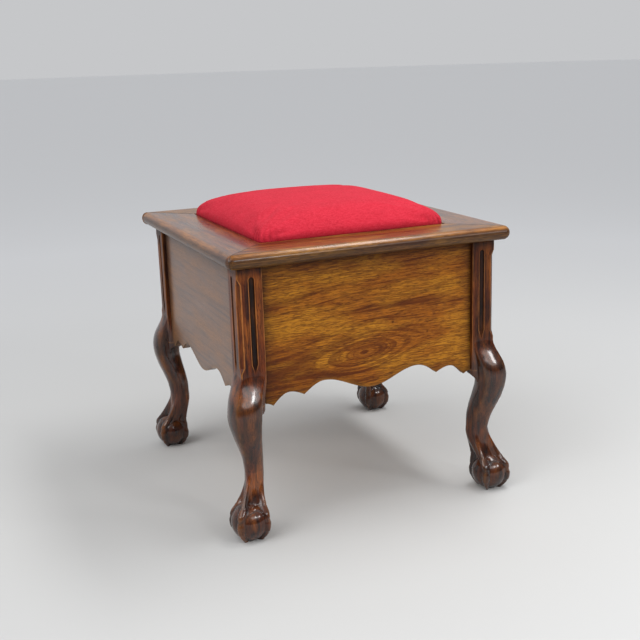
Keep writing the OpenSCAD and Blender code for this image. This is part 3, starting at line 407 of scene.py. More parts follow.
# Below, a name in At, From, Top or Foot is a height and the stretch over which it works. The tables are
# (height, value) pairs, and outer and inner lie on the corner's diagonal, measured from the post's axis.
kneeCut = dict(
    blockEnd=197, anglesEven=172, farthest=60, reachSteps=241, leastCosine=0.001,
    cove=4, lowCove=0.7, lowCoveAt=(222, 18), swellOver=28, coveAngle=(2.2, 0.8),
    ridgeWear=0.4, ridgeWidth=4, ridgeTop=(236, 20), ridgeFoot=(110, 30),
    postEdge=2, postOver=4, rimWearFrom=(226, 20), ledgeHighlightAt=(205.8, 1.1),
    stain=0.6, stainTop=(240, 30), kneeStainAndShade=0.14, kneeStainAndShadeAt=(205, 30), ankleRub=0.6, ankleRubAt=(104, 12),
    coveShade=0.3, coveShadeWidth=3, coveShadeTop=(250, 20), coveShadeFoot=(205, 20),
    blockBack=[(254, -27.6), (205, -27.6), (198.5, -6), (190, 4), (176, 6.5), (0, 6.5)],
    squareness=[(254, 60), (246, 24), (236, 10), (226, 6.2), (215, 4.4), (204, 3.3), (196, 2.9),
        (176, 2.3), (0, 2.3)],
    blockShare=[(254, 1), (199, 1), (192, 0.96), (184, 0.86), (176, 0.66), (164, 0.35), (0, 0.35)],
    outer=[(254, 26.4), (248, 27.9), (240, 31), (230, 36.6), (218, 43.8), (208, 47.6), (197, 49.2),
        (186, 48.4), (161, 41.5), (140, 31.5), (120, 23), (100, 19.3), (84, 19.6), (70, 22.5), (60, 27),
        (50, 33), (36, 39), (0, 39)],
    inner=[(254, -26), (240, -19), (220, -10), (204, -5.6), (192, -3), (184, -2.6), (161, -7.5),
        (140, -13.3), (120, -16.6), (100, -16.9), (84, -14.6), (70, -8), (60, -3), (50, 2), (36, 7),
        (0, 7)],
    width=[(254, 26), (230, 26.5), (210, 28), (196, 28), (180, 26.3), (150, 20.5), (120, 15.2),
        (100, 13.7), (84, 13.7), (70, 14.5), (60, 15.2), (50, 16), (0, 16)],
    power=[(254, 1.1), (238, 1.2), (222, 1.3), (205, 1.45), (170, 1.5), (140, 1.6), (110, 1.9), (98, 2),
        (0, 2)])
footCut = dict(
    axis=23, ball=29, ballHeight=28, top=104, webEdge=35, webArch=15, webPower=0.8, webOver=1.6, webProud=1.5,
    join=10, talonFade=30, shankFrom=(52, 26), talonPower=0.6, shankPower=1.3,
    front=[(0, 43.5), (4, 47.5), (10, 52.6), (16, 55.6), (22, 57.2), (28, 57.8), (33, 56.3), (38, 56.2),
        (44, 55), (49, 51), (56, 45.2), (65, 38.5), (75, 31.8), (86, 25.4), (96, 21), (104, 19.2)],
    back=[(0, 3), (4, -1.5), (10, -6.6), (16, -9.3), (22, -10.8), (28, -11.2), (33, -10), (38, -9.8),
        (44, -9.4), (50, -8.4), (60, -9.6), (70, -12), (84, -15), (96, -17.2), (104, -16.9)],
    sideAlong=[(0, 24), (36, 24), (50, 19), (65, 12), (80, 6), (96, 1.8), (104, 1.1)],
    sideOut=[(0, 20.5), (4, 24.5), (10, 29.6), (16, 32.4), (22, 33.8), (28, 34.3), (33, 33), (38, 32.8),
        (44, 31), (49, 27.8), (56, 24), (65, 20), (75, 17.2), (86, 15.2), (96, 13.8), (104, 13.4)],
    talonWidth=[(0, 3), (6, 4.3), (15, 5.6), (17, 6.8), (28, 8), (34, 6.9), (40, 7), (47, 8), (56, 7.4),
        (70, 7.6), (104, 9)],
    nailTop=16, nailOver=1.2, nailDrop=0.9, creases=[35.5, 54], creaseWidth=1.1, creaseDepth=0.6,
    angleVary=0.05, heightVary=1.6, reachVary=0.5,
    webShade=0.95, webShadeRise=0.2, webShadeWidth=1.8, footShadeAndStain=0.52, footShadeTop=(92, 30),
    talonWear=0.4, talonWearShare=1 / 2.2, talonShadeAt=(1.05, 0.22))


def softCorner(before, corner, after, edge):  # three points that round off a corner
    before, corner, after = (np.array(p, float) for p in (before, corner, after))
    first = corner + edge * (before - corner) / np.linalg.norm(before - corner)
    last = corner + edge * (after - corner) / np.linalg.norm(after - corner)
    return [first, corner / 2 + (first + last) / 4, last]


def postOutline(z):  # rows of u, v, wear, and grime with painted shade round a post, clockwise from the middle of its chamfer
    c = postCut
    side, edge = c["size"] / 2, c["softEdge"]
    foot, head, stop = c["chamferFoot"], c["chamferTop"], c["chamferStop"]
    cut = c["chamfer"] * np.interp(z, [foot, foot + stop, head - stop, head], [0, 1, 1, 0])
    cut = max(cut, c["leastChamfer"])
    full = c["fluteWidth"] / 2
    wide = full * float(np.clip((z - c["fluteFoot"]) / c["flutePoint"], 0, 1))
    if z > c["fluteHead"]:
        wide = math.sqrt(max(full ** 2 - (z - c["fluteHead"]) ** 2, 0))
    spread, middle = max(wide, c["leastFlute"]), -c["chamfer"] / 2
    lipWear = min(wide / full, 1)
    out = [(side - cut * share, side - cut * (1 - share), 0, dirtAndShade) for share, dirtAndShade in c["chamferGrime"]]
    arris = softCorner((side - cut, side), (side, side - cut), (side, 0), c["arris"])
    out += [(p[0], p[1], rub, 0) for p, rub in zip(arris, c["arrisWear"])]
    out += [(side, v, 0, 0) for v in between(side - cut - edge, middle + spread + edge, c["flatPoints"])]
    out.append((side, middle + spread + c["fluteLip"], lipWear, 0))
    for x in spread * np.cos(np.linspace(0, math.pi, c["flutePoints"])):
        deep = c["fluteDepthShare"] * math.sqrt(max(wide ** 2 - x ** 2, 0))
        # painted shade: the flute is darkened by its depth, nearly black inside
        out.append((side - deep, middle + x, 0, min(deep / full * c["fluteShade"], 1)))
    out.append((side, middle - spread - c["fluteLip"], lipWear, 0))
    out += [(side, v, 0, 0) for v in between(middle - spread - edge, edge - side, c["flatPoints"])]
    inner = softCorner((side, 0), (side, -side), (0, -side), edge)
    out += [(p[0], p[1], rub, 0) for p, rub in zip(inner, c["innerWear"])]
    # painted shade with some grime on the post's inner faces, in the recess beside the panels
    out += [(u, -side, 0, c["innerGrimeAndShade"]) for u in between(side - edge, edge - side, c["innerPoints"])]
    corner = (edge / 3 - side, edge / 3 - side, c["mitreWear"], 0)
    return np.array(out + [corner] + [(v, u, rub, dirtAndShade) for u, v, rub, dirtAndShade in reversed(out[1:])])


def blockReach(angle, centre, corner, size):  # how far the rounded square reaches from the knee's centre
    steps = np.linspace(0, kneeCut["farthest"], kneeCut["reachSteps"])[:, None]
    s, t = centre + steps * np.cos(angle), steps * np.sin(angle)
    u, v = np.abs(s - t) * half, np.abs(s + t) * half
    span = (u ** corner + v ** corner) ** (1 / corner) - size
    last = len(steps) - 2 - np.argmax(span[-2::-1] < 0, axis=0)
    column = np.arange(len(angle))
    inside, outside = span[last, column], span[last + 1, column]
    reach = steps[last, 0] + steps[1, 0] * inside / (inside - outside)
    return np.where(inside < 0, reach, 0)


def kneeRing(z, rim):  # rim: the plain outline of the post; returns centre, angle, radius, wear with a painted highlight, and stain with painted shade
    c = kneeCut
    keys = ("outer", "inner", "width", "power", "squareness", "blockShare", "blockBack")
    outer, inner, width, power, corner, share, back = (float(curveAt(c[key], z)) for key in keys)
    centre, depth = (outer + inner) / 2, (outer - inner) / 2
    angle = np.unwrap(np.arctan2((rim[:, 1] - rim[:, 0]) * half, (rim[:, 0] + rim[:, 1]) * half - centre))
    even = -2 * math.pi * np.arange(len(rim)) / len(rim)
    angle = angle + (even - angle) * below(z, c["blockEnd"], c["blockEnd"] - c["anglesEven"])
    post = blockReach(angle, centre, corner, postCut["size"] / 2 * share)
    post = np.minimum(post, (centre - back) / np.maximum(-np.cos(angle), c["leastCosine"]))
    section = np.abs(np.cos(angle) / depth) ** power + np.abs(np.sin(angle) / width) ** power
    section = section ** (-1 / power)
    past = section - post
    cove = c["cove"] + (c["lowCove"] - c["cove"]) * below(z, *c["lowCoveAt"])
    cove = cove * below(z, postCut["kneeStart"], c["swellOver"])  # the knee swells out of the post's faces
    extra = (np.sqrt(past ** 2 + 4 * cove ** 2) - np.abs(past)) / 2 * below(np.abs(angle), *c["coveAngle"])
    r = np.maximum(post, section) + extra
    ridge = np.minimum(np.abs(np.sin(angle)), np.abs(np.cos(angle))) * r
    rub = c["ridgeWear"] * hill(ridge, 0, c["ridgeWidth"])
    rub = rub * below(z, *c["ridgeTop"]) * above(z, *c["ridgeFoot"])
    onPost = np.clip(-past / c["postEdge"], 0, 1) * above(z, c["blockEnd"], c["postOver"])
    rub = rub * (1 - onPost) + rim[:, 2] * onPost * above(z, *c["rimWearFrom"])
    # painted highlight: a light line along the bottom edge of the knee's block, where the carving is smooth
    rub = np.maximum(rub, onPost * hill(z, *c["ledgeHighlightAt"]))
    # darker below the knee; round the knee's underside this is partly stain, partly painted shade
    stain = (c["stain"] + c["kneeStainAndShade"] * hill(z, *c["kneeStainAndShadeAt"])) * below(z, *c["stainTop"])
    stain *= 1 - c["ankleRub"] * hill(z, *c["ankleRubAt"])
    # painted shade in the crease where the knee swells out of the post
    dirtAndShade = c["coveShade"] * hill(past, 0, c["coveShadeWidth"])
    dirtAndShade = dirtAndShade * below(z, *c["coveShadeTop"]) * above(z, *c["coveShadeFoot"])
    return centre, angle, r, rub, stain + (1 - stain) * dirtAndShade


def turnAway(angle, turn):  # how far an angle is from a turn, the shorter way round
    return np.abs((angle - turn + math.pi) % (2 * math.pi) - math.pi)


def footRing(z, centre, angle, shank, vary):  # adds the ball, the web and four talons to a ring of the shank
    c = footCut
    offset = c["axis"] - centre
    circle = c["ball"] ** 2 - (z - c["ballHeight"]) ** 2
    chord = circle - (offset * np.sin(angle)) ** 2
    ball = np.where(chord > 0, offset * np.cos(angle) + np.sqrt(np.maximum(chord, 0)), 0)
    ball = np.maximum(ball, 0)
    crests = []
    talons = zip(vary, ("front", "sideAlong", "back", "sideAlong"), (0, 1, 0, -1))
    for (turn, shift, proud), key, side in talons:
        at = float(np.clip(z + shift * math.sin(math.pi * min(z / c["top"], 1)), 0, c["top"]))
        s, t = float(curveAt(c[key], at)) - centre, side * float(curveAt(c["sideOut"], at))
        fade = below(z, c["top"], c["talonFade"])
        crests.append((math.atan2(t, s) + turn * fade, math.hypot(s, t) + proud * fade, at))
    nearest = np.min([turnAway(angle, turn) for turn, reach, at in crests], axis=0)
    arch = c["webEdge"] + c["webArch"] * np.sin(np.clip(nearest * 2, 0, math.pi)) ** c["webPower"]
    join = c["join"]
    web = (shank ** join + (ball + c["webProud"]) ** join) ** (1 / join) if circle > 0 else shank
    opened = above(z, arch, c["webOver"])
    base = ball * (1 - opened) + web * opened
    r, rub = base.copy(), np.zeros(len(angle))
    # painted shadow: a dark band where the ball goes in under the web
    dirtAndShade = c["webShade"] * hill(z, arch + c["webShadeRise"], c["webShadeWidth"])
    # darker towards the floor: partly a darker stain, partly painted shade on the ball's underside
    dirtAndShade = np.maximum(dirtAndShade, c["footShadeAndStain"] * below(z, *c["footShadeTop"]))
    soft = float(above(z, *c["shankFrom"]))
    for turn, reach, at in crests:
        reach -= c["nailDrop"] * float(below(at, c["nailTop"], c["nailOver"]))
        away = turnAway(angle, turn) * reach / float(curveAt(c["talonWidth"], at))
        shape = np.maximum(1 - away ** 2, 0) ** (c["talonPower"] + c["shankPower"] * soft)
        for crease in c["creases"]:
            reach -= c["creaseDepth"] * hill(at, crease, c["creaseWidth"])
        r = np.maximum(r, base + np.maximum(reach - base, 0) * shape)
        crown = np.maximum(1 - (away / c["talonWearShare"]) ** 2, 0)
        rub = np.maximum(rub, c["talonWear"] * crown * (1 - soft))
        # painted shade in the creases along both sides of each talon
        dirtAndShade = np.maximum(dirtAndShade, hill(away, *c["talonShadeAt"]) * (1 - soft))
    return r, rub, dirtAndShade


def carvedLeg(name, sideX, sideY, seed, legShade):
    c = postCut
    dice = np.random.RandomState(seed)
    keys = ("angleVary", "heightVary", "reachVary")
    vary = [[dice.uniform(-1, 1) * footCut[key] for key in keys] for talon in range(4)]
    plain = postOutline(c["kneeStart"])
    beside = hill(np.minimum(plain[:, 0], plain[:, 1]), -c["chamfer"] / 2, c["footShadeBeside"])
    rings = []
    for z in np.concatenate([np.arange(*row) for row in c["rows"]]):
        if z >= c["kneeStart"]:
            u, v, rub, dirtAndShade = postOutline(z).T
            if z > c["top"] - c["easedHeight"]:
                u, v = u * c["easedShare"], v * c["easedShare"]
        else:
            centre, angle, r, rub, dirtAndShade = kneeRing(z, plain)
            if z < footCut["top"]:
                r, rub, dirtAndShade = footRing(z, centre, angle, r, vary)
            s, t = centre + r * np.cos(angle), r * np.sin(angle)
            u, v = (s - t) * half, (s + t) * half
        # painted shade in the hollow below the flute's foot
        dirtAndShade = np.maximum(dirtAndShade, c["footShadeAndStain"] * hill(z, *c["footShadeAt"]) * beside)
        # painted shade with some grime under the lid, at the post's head
        dirtAndShade = np.maximum(dirtAndShade, c["headShadeAndGrime"] * above(z, *c["headShadeAndGrimeFrom"]))
        x = sideX * (caseSize["width"] / 2 - c["size"] / 2 + u)
        y = sideY * (caseSize["depth"] / 2 - c["size"] / 2 + v)
        # painted shade: the whole leg darkened by its share, for the legs that stand less lit
        rings.append(np.stack([x, y, np.full(len(u), z), rub, dirtAndShade + (1 - dirtAndShade) * legShade], -1))
    return makePiece(name, np.concatenate(rings), bandFaces(len(rings), len(plain)), sharp=c["sharpAngle"])


for seed, (name, sideX, sideY, legShade) in enumerate([  # the last value: how much darker that whole leg is painted, as painted shade on the legs that stand less lit
        ("front_left_leg", -1, -1, 0.0), ("front_right_leg", 1, -1, 0.42),
        ("back_left_leg", -1, 1, 0.35), ("back_right_leg", 1, 1, 0.5)], 11):
    leg = carvedLeg("carved_" + name, sideX, sideY, seed, legShade)
    finishPiece(leg, "case", legMaterial, [name])
print("legs carved")


# Panels: front and sides with a shaped apron

apronCut = dict(
    low=202, rise=27, thickness=14, gap=0.1, softEdge=1.1, arris=0.33, topEdge=0.6, step=2.4, leastSteps=2,
    outlineShares=[(0, 0.17), (0.45, 1), (0.647, 0.37), (0.782, 0.65), (0.935, 0), (1, 0.17)],
    reveal=7, top=legTop, sharpAngle=40,  # the outline's shares are of the span and of the rise
    lowRows=(1.1, 2.64, 8, 18), plainFrom=250, plainRows=9, topBand=6,
    lowWear=(0.6, 1.0, 0.75, 0.2), outsideShadeAndGrime=0.85, insideDarkening=0.2,
    sideShade=(1, 10), lowShade=(0.5, 5), lowShadeRise=2, topShades=[(0.85, 10), (0.32, 45)])  # weight, reach


def apronHeight(share):  # arches that are round at their tops and sharp at their cusps
    table = apronCut["outlineShares"]
    share = abs(share)
    k = min(max(sum(share >= p[0] for p in table) - 1, 0), len(table) - 2)
    (x0, h0), (x1, h1) = table[k], table[k + 1]
    t = (share - x0) / (x1 - x0)
    if k == 0:
        bend = (1 - math.cos(math.pi * t)) / 2
    elif h1 < h0:
        bend = 1 - math.cos(math.pi / 2 * t)
    else:
        bend = math.sin(math.pi / 2 * t)
    return apronCut["low"] + apronCut["rise"] * (h0 + (h1 - h0) * bend)


def apronPanel(name, span, turn, move):
    c = apronCut
    span, e, arris, top, back = span - c["gap"], c["softEdge"], c["arris"], c["top"], c["thickness"]
    knots = sorted({side * share * span for share, rise in c["outlineShares"] for side in (-1, 1)})
    columns = []
    for a, b in zip(knots, knots[1:]):
        columns += list(np.linspace(a, b, max(int((b - a) / c["step"]), c["leastSteps"]), endpoint=False))
    columns.append(span)
    rows = []
    for x in columns:
        low = apronHeight(x / span)
        levels = [low + v for v in c["lowRows"]]
        levels += list(np.linspace(c["plainFrom"], top - c["topBand"], c["plainRows"])) + [top - c["topEdge"]]
        loop = [(e, low), (arris, low + arris)] + [(0, z) for z in levels]
        loop += [(c["topEdge"], top), (back - c["topEdge"], top)] + [(back, z) for z in reversed(levels)]
        loop += [(back - arris, low + arris), (back - e, low), (back / 2, low)]
        rub = c["lowWear"] + (0,) * (len(loop) - len(c["lowWear"]))
        for (y, z), wearAndHighlight in zip(loop, rub):
            # painted shade beside the posts, under the lid and along the apron's foot, with some grime, on
            # the outer face; the inner face is evenly darker
            dirtAndShade = shade(span - abs(x), *c["sideShade"]) + shade(z - low - c["lowShadeRise"], *c["lowShade"])
            dirtAndShade += sum(shade(top - z, *row) for row in c["topShades"])
            rows.append((x, y, z, wearAndHighlight, min(dirtAndShade, 1) * c["outsideShadeAndGrime"] if y < back / 2 else c["insideDarkening"]))
    return makePiece(name, rows, bandFaces(len(columns), len(loop)), turn, move, sharp=c["sharpAngle"])


spanX, spanY = caseSize["width"] / 2 - postCut["size"], caseSize["depth"] / 2 - postCut["size"]
faceX, faceY = caseSize["width"] / 2 - apronCut["reveal"], caseSize["depth"] / 2 - apronCut["reveal"]
for side, span, turn, move, material in [
        ("front", spanX, 0, (0, -faceY, 0), frontMaterial),
        ("left", spanY, -90, (-faceX, 0, 0), sideMaterial),
        ("right", spanY, 90, (faceX, 0, 0), sideMaterial)]:
    panel = apronPanel("shaped_" + side + "_panel", span, turn, move)
    finishPiece(panel, "case", material, [side + "_panel"])
print("panels shaped")


# Lid: mitred rails with a round outer edge and a rabbet for the seat

railLow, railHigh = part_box("lid_front_rail")
railCut = dict(
    foot=railLow.z / mm, top=railHigh.z / mm, halfWidth=railHigh.x / mm, halfDepth=-railLow.y / mm,
    width=76, ledge=12, ledgeThickness=10, softEdge=0.9, mitreGap=0.12, merge=0.005, sharpAngle=45,
    seamWidth=0.2, seamHeight=0.3, lipDepth=2.5, inset=4, flatRows=7, underRows=6,
    arcSteps=7, noseSteps=22, columns=32, endRows=(0.0, 0.7, 2.5),
    noseWear=0.6, noseWearAt=(0.55, 0.35), noseShade=0.7, noseShadeFrom=(0.8, 0.6), mitreGrime=(0.95, 0.7))


def railProfile():  # (distance from the outer edge, height, wear, and grime with painted shade) round the section of a rail
    c = railCut
    width, top, foot, e = c["width"], c["top"], c["foot"], c["softEdge"]
    nose, inner, ledge = (top - foot) / 2, width + c["ledge"], foot + c["ledgeThickness"]
    # painted shade on the inner face beside the seat, darkest in the seam, and lighter painted shade on the
    # underside
    loop = [(inner, foot, 0, 0.2), (inner, ledge, 0.2, 0.1), (width + c["seamWidth"], ledge, 0, 0.9),
            (width, ledge + c["seamHeight"], 0, 0.9), (width, top - c["lipDepth"], 0, 0.8),
            (width, top - e, 0.1, 0.5), (width - e / 4, top - e / 4, 0.6, 0.1), (width - e, top, 0.5, 0.1)]
    loop += [(d, top, 0, 0) for d in np.linspace(width - c["inset"], nose + c["inset"], c["flatRows"])]
    for a in np.linspace(0, math.pi, c["noseSteps"]):
        # painted shade on the lower, downward-facing half of the round nose
        rub, dirtAndShade = c["noseWear"] * hill(a, *c["noseWearAt"]), c["noseShade"] * above(a, *c["noseShadeFrom"])
        loop.append((nose - nose * math.sin(a), foot + nose + nose * math.cos(a), rub, dirtAndShade))
    loop += [(d, foot, 0, 0.3) for d in np.linspace(nose + c["inset"], inner - c["inset"], c["underRows"])]
    return loop


def mitredRail(name, length, reach, turn):
    c = railCut
    nose, profile = (c["top"] - c["foot"]) / 2, railProfile()
    bends = np.linspace(0, math.pi / 4, c["arcSteps"] + 1)[1:]
    places = [("arc", -bend) for bend in reversed(bends)] + [("end", value) for value in c["endRows"]]
    places += [("run", value) for value in between(-1, 1, c["columns"])]
    places += [("end", value) for value in reversed(c["endRows"])] + [("arc", bend) for bend in bends]
    rows = []
    for number, (kind, value) in enumerate(places):
        side = -1 if number < len(places) / 2 else 1
        for d, z, rub, dirtAndShade in profile:
            limit = length - max(d, nose) - c["mitreGap"]
            x, y = side * limit, d - reach
            if kind == "run":
                x = value * (limit - c["inset"])
            elif kind == "end":
                x = side * (limit - value)
            elif d < nose:
                x += (nose - d) * math.sin(value)
                y = nose - reach - (nose - d) * math.cos(value)
            near = limit - abs(x)
            if d < nose:
                near = (math.pi / 4 - abs(value) if kind == "arc" else 1) * nose
            rows.append((x, y, z, rub, max(dirtAndShade, shade(near, *c["mitreGrime"]))))
    faces = bandFaces(len(places), len(profile))
    return makePiece(name, rows, faces, turn, merge=c["merge"], sharp=c["sharpAngle"])


for name, length, reach, turn, axis in [
        ("front", railCut["halfWidth"], railCut["halfDepth"], 0, "X"),
        ("left", railCut["halfDepth"], railCut["halfWidth"], -90, "Y"),
        ("right", railCut["halfDepth"], railCut["halfWidth"], 90, "Y")]:
    rail = mitredRail("rounded_" + name + "_rail", length, reach, turn)
    finishPiece(rail, "lid", lidMaterials[axis], ["lid_" + name + "_rail"])
print("lid rails made")


# Seat: red cloth pulled over stuffing, blown up by simulation and pleated at its corners

seatGap, footRise, rimRise = 0.9, 0.4, 1.2  # from the rails' edges, the solid's foot and the rails' top
seatInset = railCut["width"] + seatGap
seatCut = dict(
    halfWidth=railCut["halfWidth"] - seatInset, halfDepth=railCut["halfDepth"] - seatInset,
    foot=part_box("seat_cover")[0].z / mm + footRise, rim=railCut["top"] + rimRise,
    edgeHeight=33, shrink=1.5, crown=7.5, corner=10.5, edgePower=10, shoulderPower=0.42, bulge=2.52,
    bulgePower=6, band=4, rimSwell=0.3, lipDrop=0.5, arcPoints=9, sidePoints=37, domeRows=24,
    voxel=4.0, relax=2, fill=0.7, pinBelow=443, frames=20, most=4.5,
    cloth=dict(quality=6, mass=0.3, tension_stiffness=18, compression_stiffness=18, bending_stiffness=0.8,
               use_pressure=True, uniform_pressure_force=2.5, vertex_group_mass="held"))
pleatCut = dict(
    seed=5, inset=34, reach=4, turns=[12, 26, 39, 51, 64, 78], turnRange=(-4, 4), leanRange=(-0.25, 0.25),
    width=2.1, spread=1.6, narrowing=0.6, depth=2.6, depthShares=(0.6, 1.15), height=27,
    heightShares=(0.65, 1.1), footFrom=(-2, 3), grimeAndShade=0.6, waves=9, waveRange=(0.12, 0.42), wavePhase=6.3,
    pucker=1.1, puckerAt=(5, 7), puckerEdge=0.9, puckerFace=0.97, seamShade=(0.9, 1.6))


def seatOutline(share):  # a rounded rectangle, that share of the seat's size
    c = seatCut
    radius = c["corner"] * share
    x, y = c["halfWidth"] * share - radius, c["halfDepth"] * share - radius
    middles = np.array([(x, y), (-x, y), (-x, -y), (x, -y)])
    run = []
    for k in range(4):
        turns = np.linspace(k * math.pi / 2, (k + 1) * math.pi / 2, c["arcPoints"])
        arc = np.stack([np.cos(turns), np.sin(turns)], -1) * radius
        start, end = middles[k] + arc[-1], middles[(k + 1) % 4] + arc[-1]
        run += list(middles[k] + arc) + [start + (end - start) * t for t in between(0, 1, c["sidePoints"])]
    return np.array(run)


def seatRing(share, z=None, swell=0):  # without a height, the ring lies on the dome
    c = seatCut
    x, y = seatOutline(share).T
    u, v = x / c["halfWidth"], y / c["halfDepth"]
    if z is None:
        edge = np.maximum(1 - np.abs(u) ** c["edgePower"], 0) * np.maximum(1 - np.abs(v) ** c["edgePower"], 0)
        rise = (c["edgeHeight"] - c["shrink"]) * edge ** c["shoulderPower"]
        rise += c["crown"] * (1 - u * u) * (1 - v * v)
        z, swell = c["rim"] + rise, 1 - np.minimum(rise / c["edgeHeight"], 1) ** 2
    grow = swell * c["bulge"]
    x = x + np.sign(u) * grow * (1 - v * v) * np.abs(u) ** c["bulgePower"]
    y = y + np.sign(v) * grow * (1 - u * u) * np.abs(v) ** c["bulgePower"]
    return np.stack([x, y, np.broadcast_to(z, x.shape)], -1)


def seatBlank():  # the unblown seat: straight sides in the opening, then the dome
    c = seatCut
    rows = [(c["foot"], 0), (c["foot"] + c["band"], 0), (railCut["top"] - c["lipDrop"], 0),
            (c["rim"], c["rimSwell"]), (c["rim"] + c["band"], 1)]
    rings = [seatRing(1, z, swell) for z, swell in rows]
    rings += [seatRing(math.cos(a)) for a in between(0, math.pi / 2, c["domeRows"])]
    return makePiece("sewn_seat", np.concatenate(rings), bandFaces(len(rings), len(rings[0])))


def applyModifiers(piece):
    graph = bpy.context.evaluated_depsgraph_get()
    graph.update()
    mesh = bpy.data.meshes.new_from_object(
        piece.evaluated_get(graph), preserve_all_data_layers=True, depsgraph=graph)
    piece.modifiers.clear()
    piece.data = mesh


def meshPoints(mesh):
    flat = np.zeros(len(mesh.vertices) * 3)
    mesh.vertices.foreach_get("co", flat)
    return flat.reshape(-1, 3)


def blowUp(piece):
    c = seatCut
    rest = meshPoints(piece.data)
    held = np.nonzero(rest[:, 2] < c["pinBelow"] * mm)[0]
    piece.vertex_groups.new(name="held").add(held.tolist(), 1.0, "REPLACE")
    cloth = piece.modifiers.new("cloth", "CLOTH").settings
    for key, value in c["cloth"].items():
        setattr(cloth, key, value)
    cloth.effector_weights.gravity = 0
    scene = bpy.context.scene
    for number in range(1, c["frames"] + 1):
        scene.frame_set(number)
    flat = piece.data
    applyModifiers(piece)
    move = meshPoints(piece.data) - rest
    scene.frame_set(1)
    piece.data = flat
    piece.vertex_groups.clear()
    length = np.linalg.norm(move, axis=1, keepdims=True)
    limit = c["most"] * mm
    move = move * (limit * np.tanh(length / limit) / np.maximum(length, tiny))
    flat.vertices.foreach_set("co", (rest + move).ravel())
    print("seat blown up, most %.1f mm, mean %.1f mm" % (length.max() / mm, length.mean() / mm))


def pleatCorners(piece):
    c, sizes = pleatCut, np.array([seatCut["halfWidth"], seatCut["halfDepth"]])
    dice = np.random.RandomState(c["seed"])
    place = meshPoints(piece.data) / mm
    flat, rise = place[:, :2], place[:, 2] - railCut["top"]
    inward, grimeAndShade = np.zeros_like(place), np.zeros(len(place))
    for signs in ((-1, -1), (-1, 1), (1, -1), (1, 1)):
        away = flat * signs - (sizes - c["inset"])
        near = (away > -c["reach"]).all(axis=1)
        turn = np.degrees(np.arctan2(away[:, 1], away[:, 0]))
        pull = np.zeros(len(place))
        for spot in c["turns"]:
            at = spot + dice.uniform(*c["turnRange"]) + rise * dice.uniform(*c["leanRange"])
            tall = c["height"] * dice.uniform(*c["heightShares"])
            deep = c["depth"] * dice.uniform(*c["depthShares"])
            reach = np.clip(1 - rise / tall, 0, 1) * above(rise, *c["footFrom"])
            width = c["width"] * (c["spread"] - c["narrowing"] * reach)
            pull = np.maximum(pull, deep * reach * hill(turn, at, width))
        pull = pull * near
        radius = np.maximum(np.linalg.norm(away, axis=1), 1)
        inward[:, :2] -= away * signs * (pull / radius)[:, None]
        # painted shade in the pleats' creases
        grimeAndShade = np.maximum(grimeAndShade, pull / c["depth"] * c["grimeAndShade"])
    shares = np.abs(flat) / sizes
    along = np.where(shares[:, 0] > shares[:, 1], flat[:, 1], flat[:, 0])
    pucker = np.zeros(len(place))
    for k in range(c["waves"]):  # slight puckers where the cloth was pulled down and tacked
        pucker += np.sin(along * dice.uniform(*c["waveRange"]) + dice.uniform(0, c["wavePhase"])) / c["waves"]
    pucker *= c["pucker"] * hill(rise, *c["puckerAt"]) * (shares.max(axis=1) > c["puckerEdge"])
    inward[:, :2] -= pucker[:, None] * np.sign(flat) * (shares > c["puckerFace"])
    # painted shade at the seat's foot, where it meets the rails
    grimeAndShade = np.maximum(grimeAndShade, shade(np.maximum(rise, 0), *c["seamShade"]))
    piece.data.vertices.foreach_set("co", ((place + inward) * mm).ravel())
    paint(piece.data, "grimeAndShade", grimeAndShade)
    piece.data.update()


def sewnSeat():
    piece = seatBlank()
    remesh = piece.modifiers.new("voxels", "REMESH")
    remesh.mode = "VOXEL"
    remesh.voxel_size = seatCut["voxel"] * mm
    applyModifiers(piece)
    blowUp(piece)
    piece.modifiers.new("relax", "SMOOTH").iterations = seatCut["relax"]
    finer = piece.modifiers.new("finer", "SUBSURF")
    finer.levels = finer.render_levels = 1
    applyModifiers(piece)
    pleatCorners(piece)
    piece.data.polygons.foreach_set("use_smooth", np.ones(len(piece.data.polygons), bool))
    finishPiece(piece, "lid", redMaterial, ["seat_cover", "seat_padding"])


sewnSeat()
print("seat sewn")


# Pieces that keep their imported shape: inner woodwork, hinges, screws and the cloth under the seat

keptFinishes = [  # material, width of the eased edges in millimetres, pieces
    (backMaterial, 0.8, ["back_panel"]),
    (lidMaterials["X"], 0.4, ["lid_back_rail"]),
    (lidMaterials["X"], 0, ["lid_mitre_splines"]),
    (pineMaterials["X"], 0.5, ["floor_board"]),
    (pineMaterials["X"], 0.6, ["front_cleat", "back_cleat", "seat_corner_blocks"]),
    (pineMaterials["Y"], 0.6, ["left_cleat", "right_cleat"]),
    (pineMaterials["X"], 0, ["seat_board"]),
    (restMaterial, 1.2, ["shoe_rest_base"]),
    (restMaterial, 0.8, ["shoe_rest_heel_upright", "shoe_rest_toe_upright"]),
    (restMaterial, 2.0, ["shoe_rest_heel_pad", "shoe_rest_sole_plate"]),
    (blackMaterial, 0, ["seat_dust_cloth"]),
    (steelMaterial, 0, ["shoe_rest_screws", "seat_screws", "dust_cloth_tacks"]),
    (brassMaterial, 0.2, ["left_hinge_case_leaf", "left_hinge_lid_leaf",
                          "right_hinge_case_leaf", "right_hinge_lid_leaf"]),
    (brassMaterial, 0, ["hinge_pins", "hinge_case_screws", "hinge_lid_screws"]),
]
bevelAngle, bevelSteps = 35, 2
for material, edge, names in keptFinishes:
    for kept in (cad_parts[name] for name in names):
        if not kept.material_slots:
            kept.data.materials.append(material)
        for place in kept.material_slots:
            place.material = material
        if edge:
            bevel = kept.modifiers.new("easedEdges", "BEVEL")
            bevel.width, bevel.segments = edge * mm, bevelSteps
            bevel.limit_method, bevel.angle_limit = "ANGLE", math.radians(bevelAngle)
print("kept pieces finished")


# Studio: pale floor, soft light and the camera

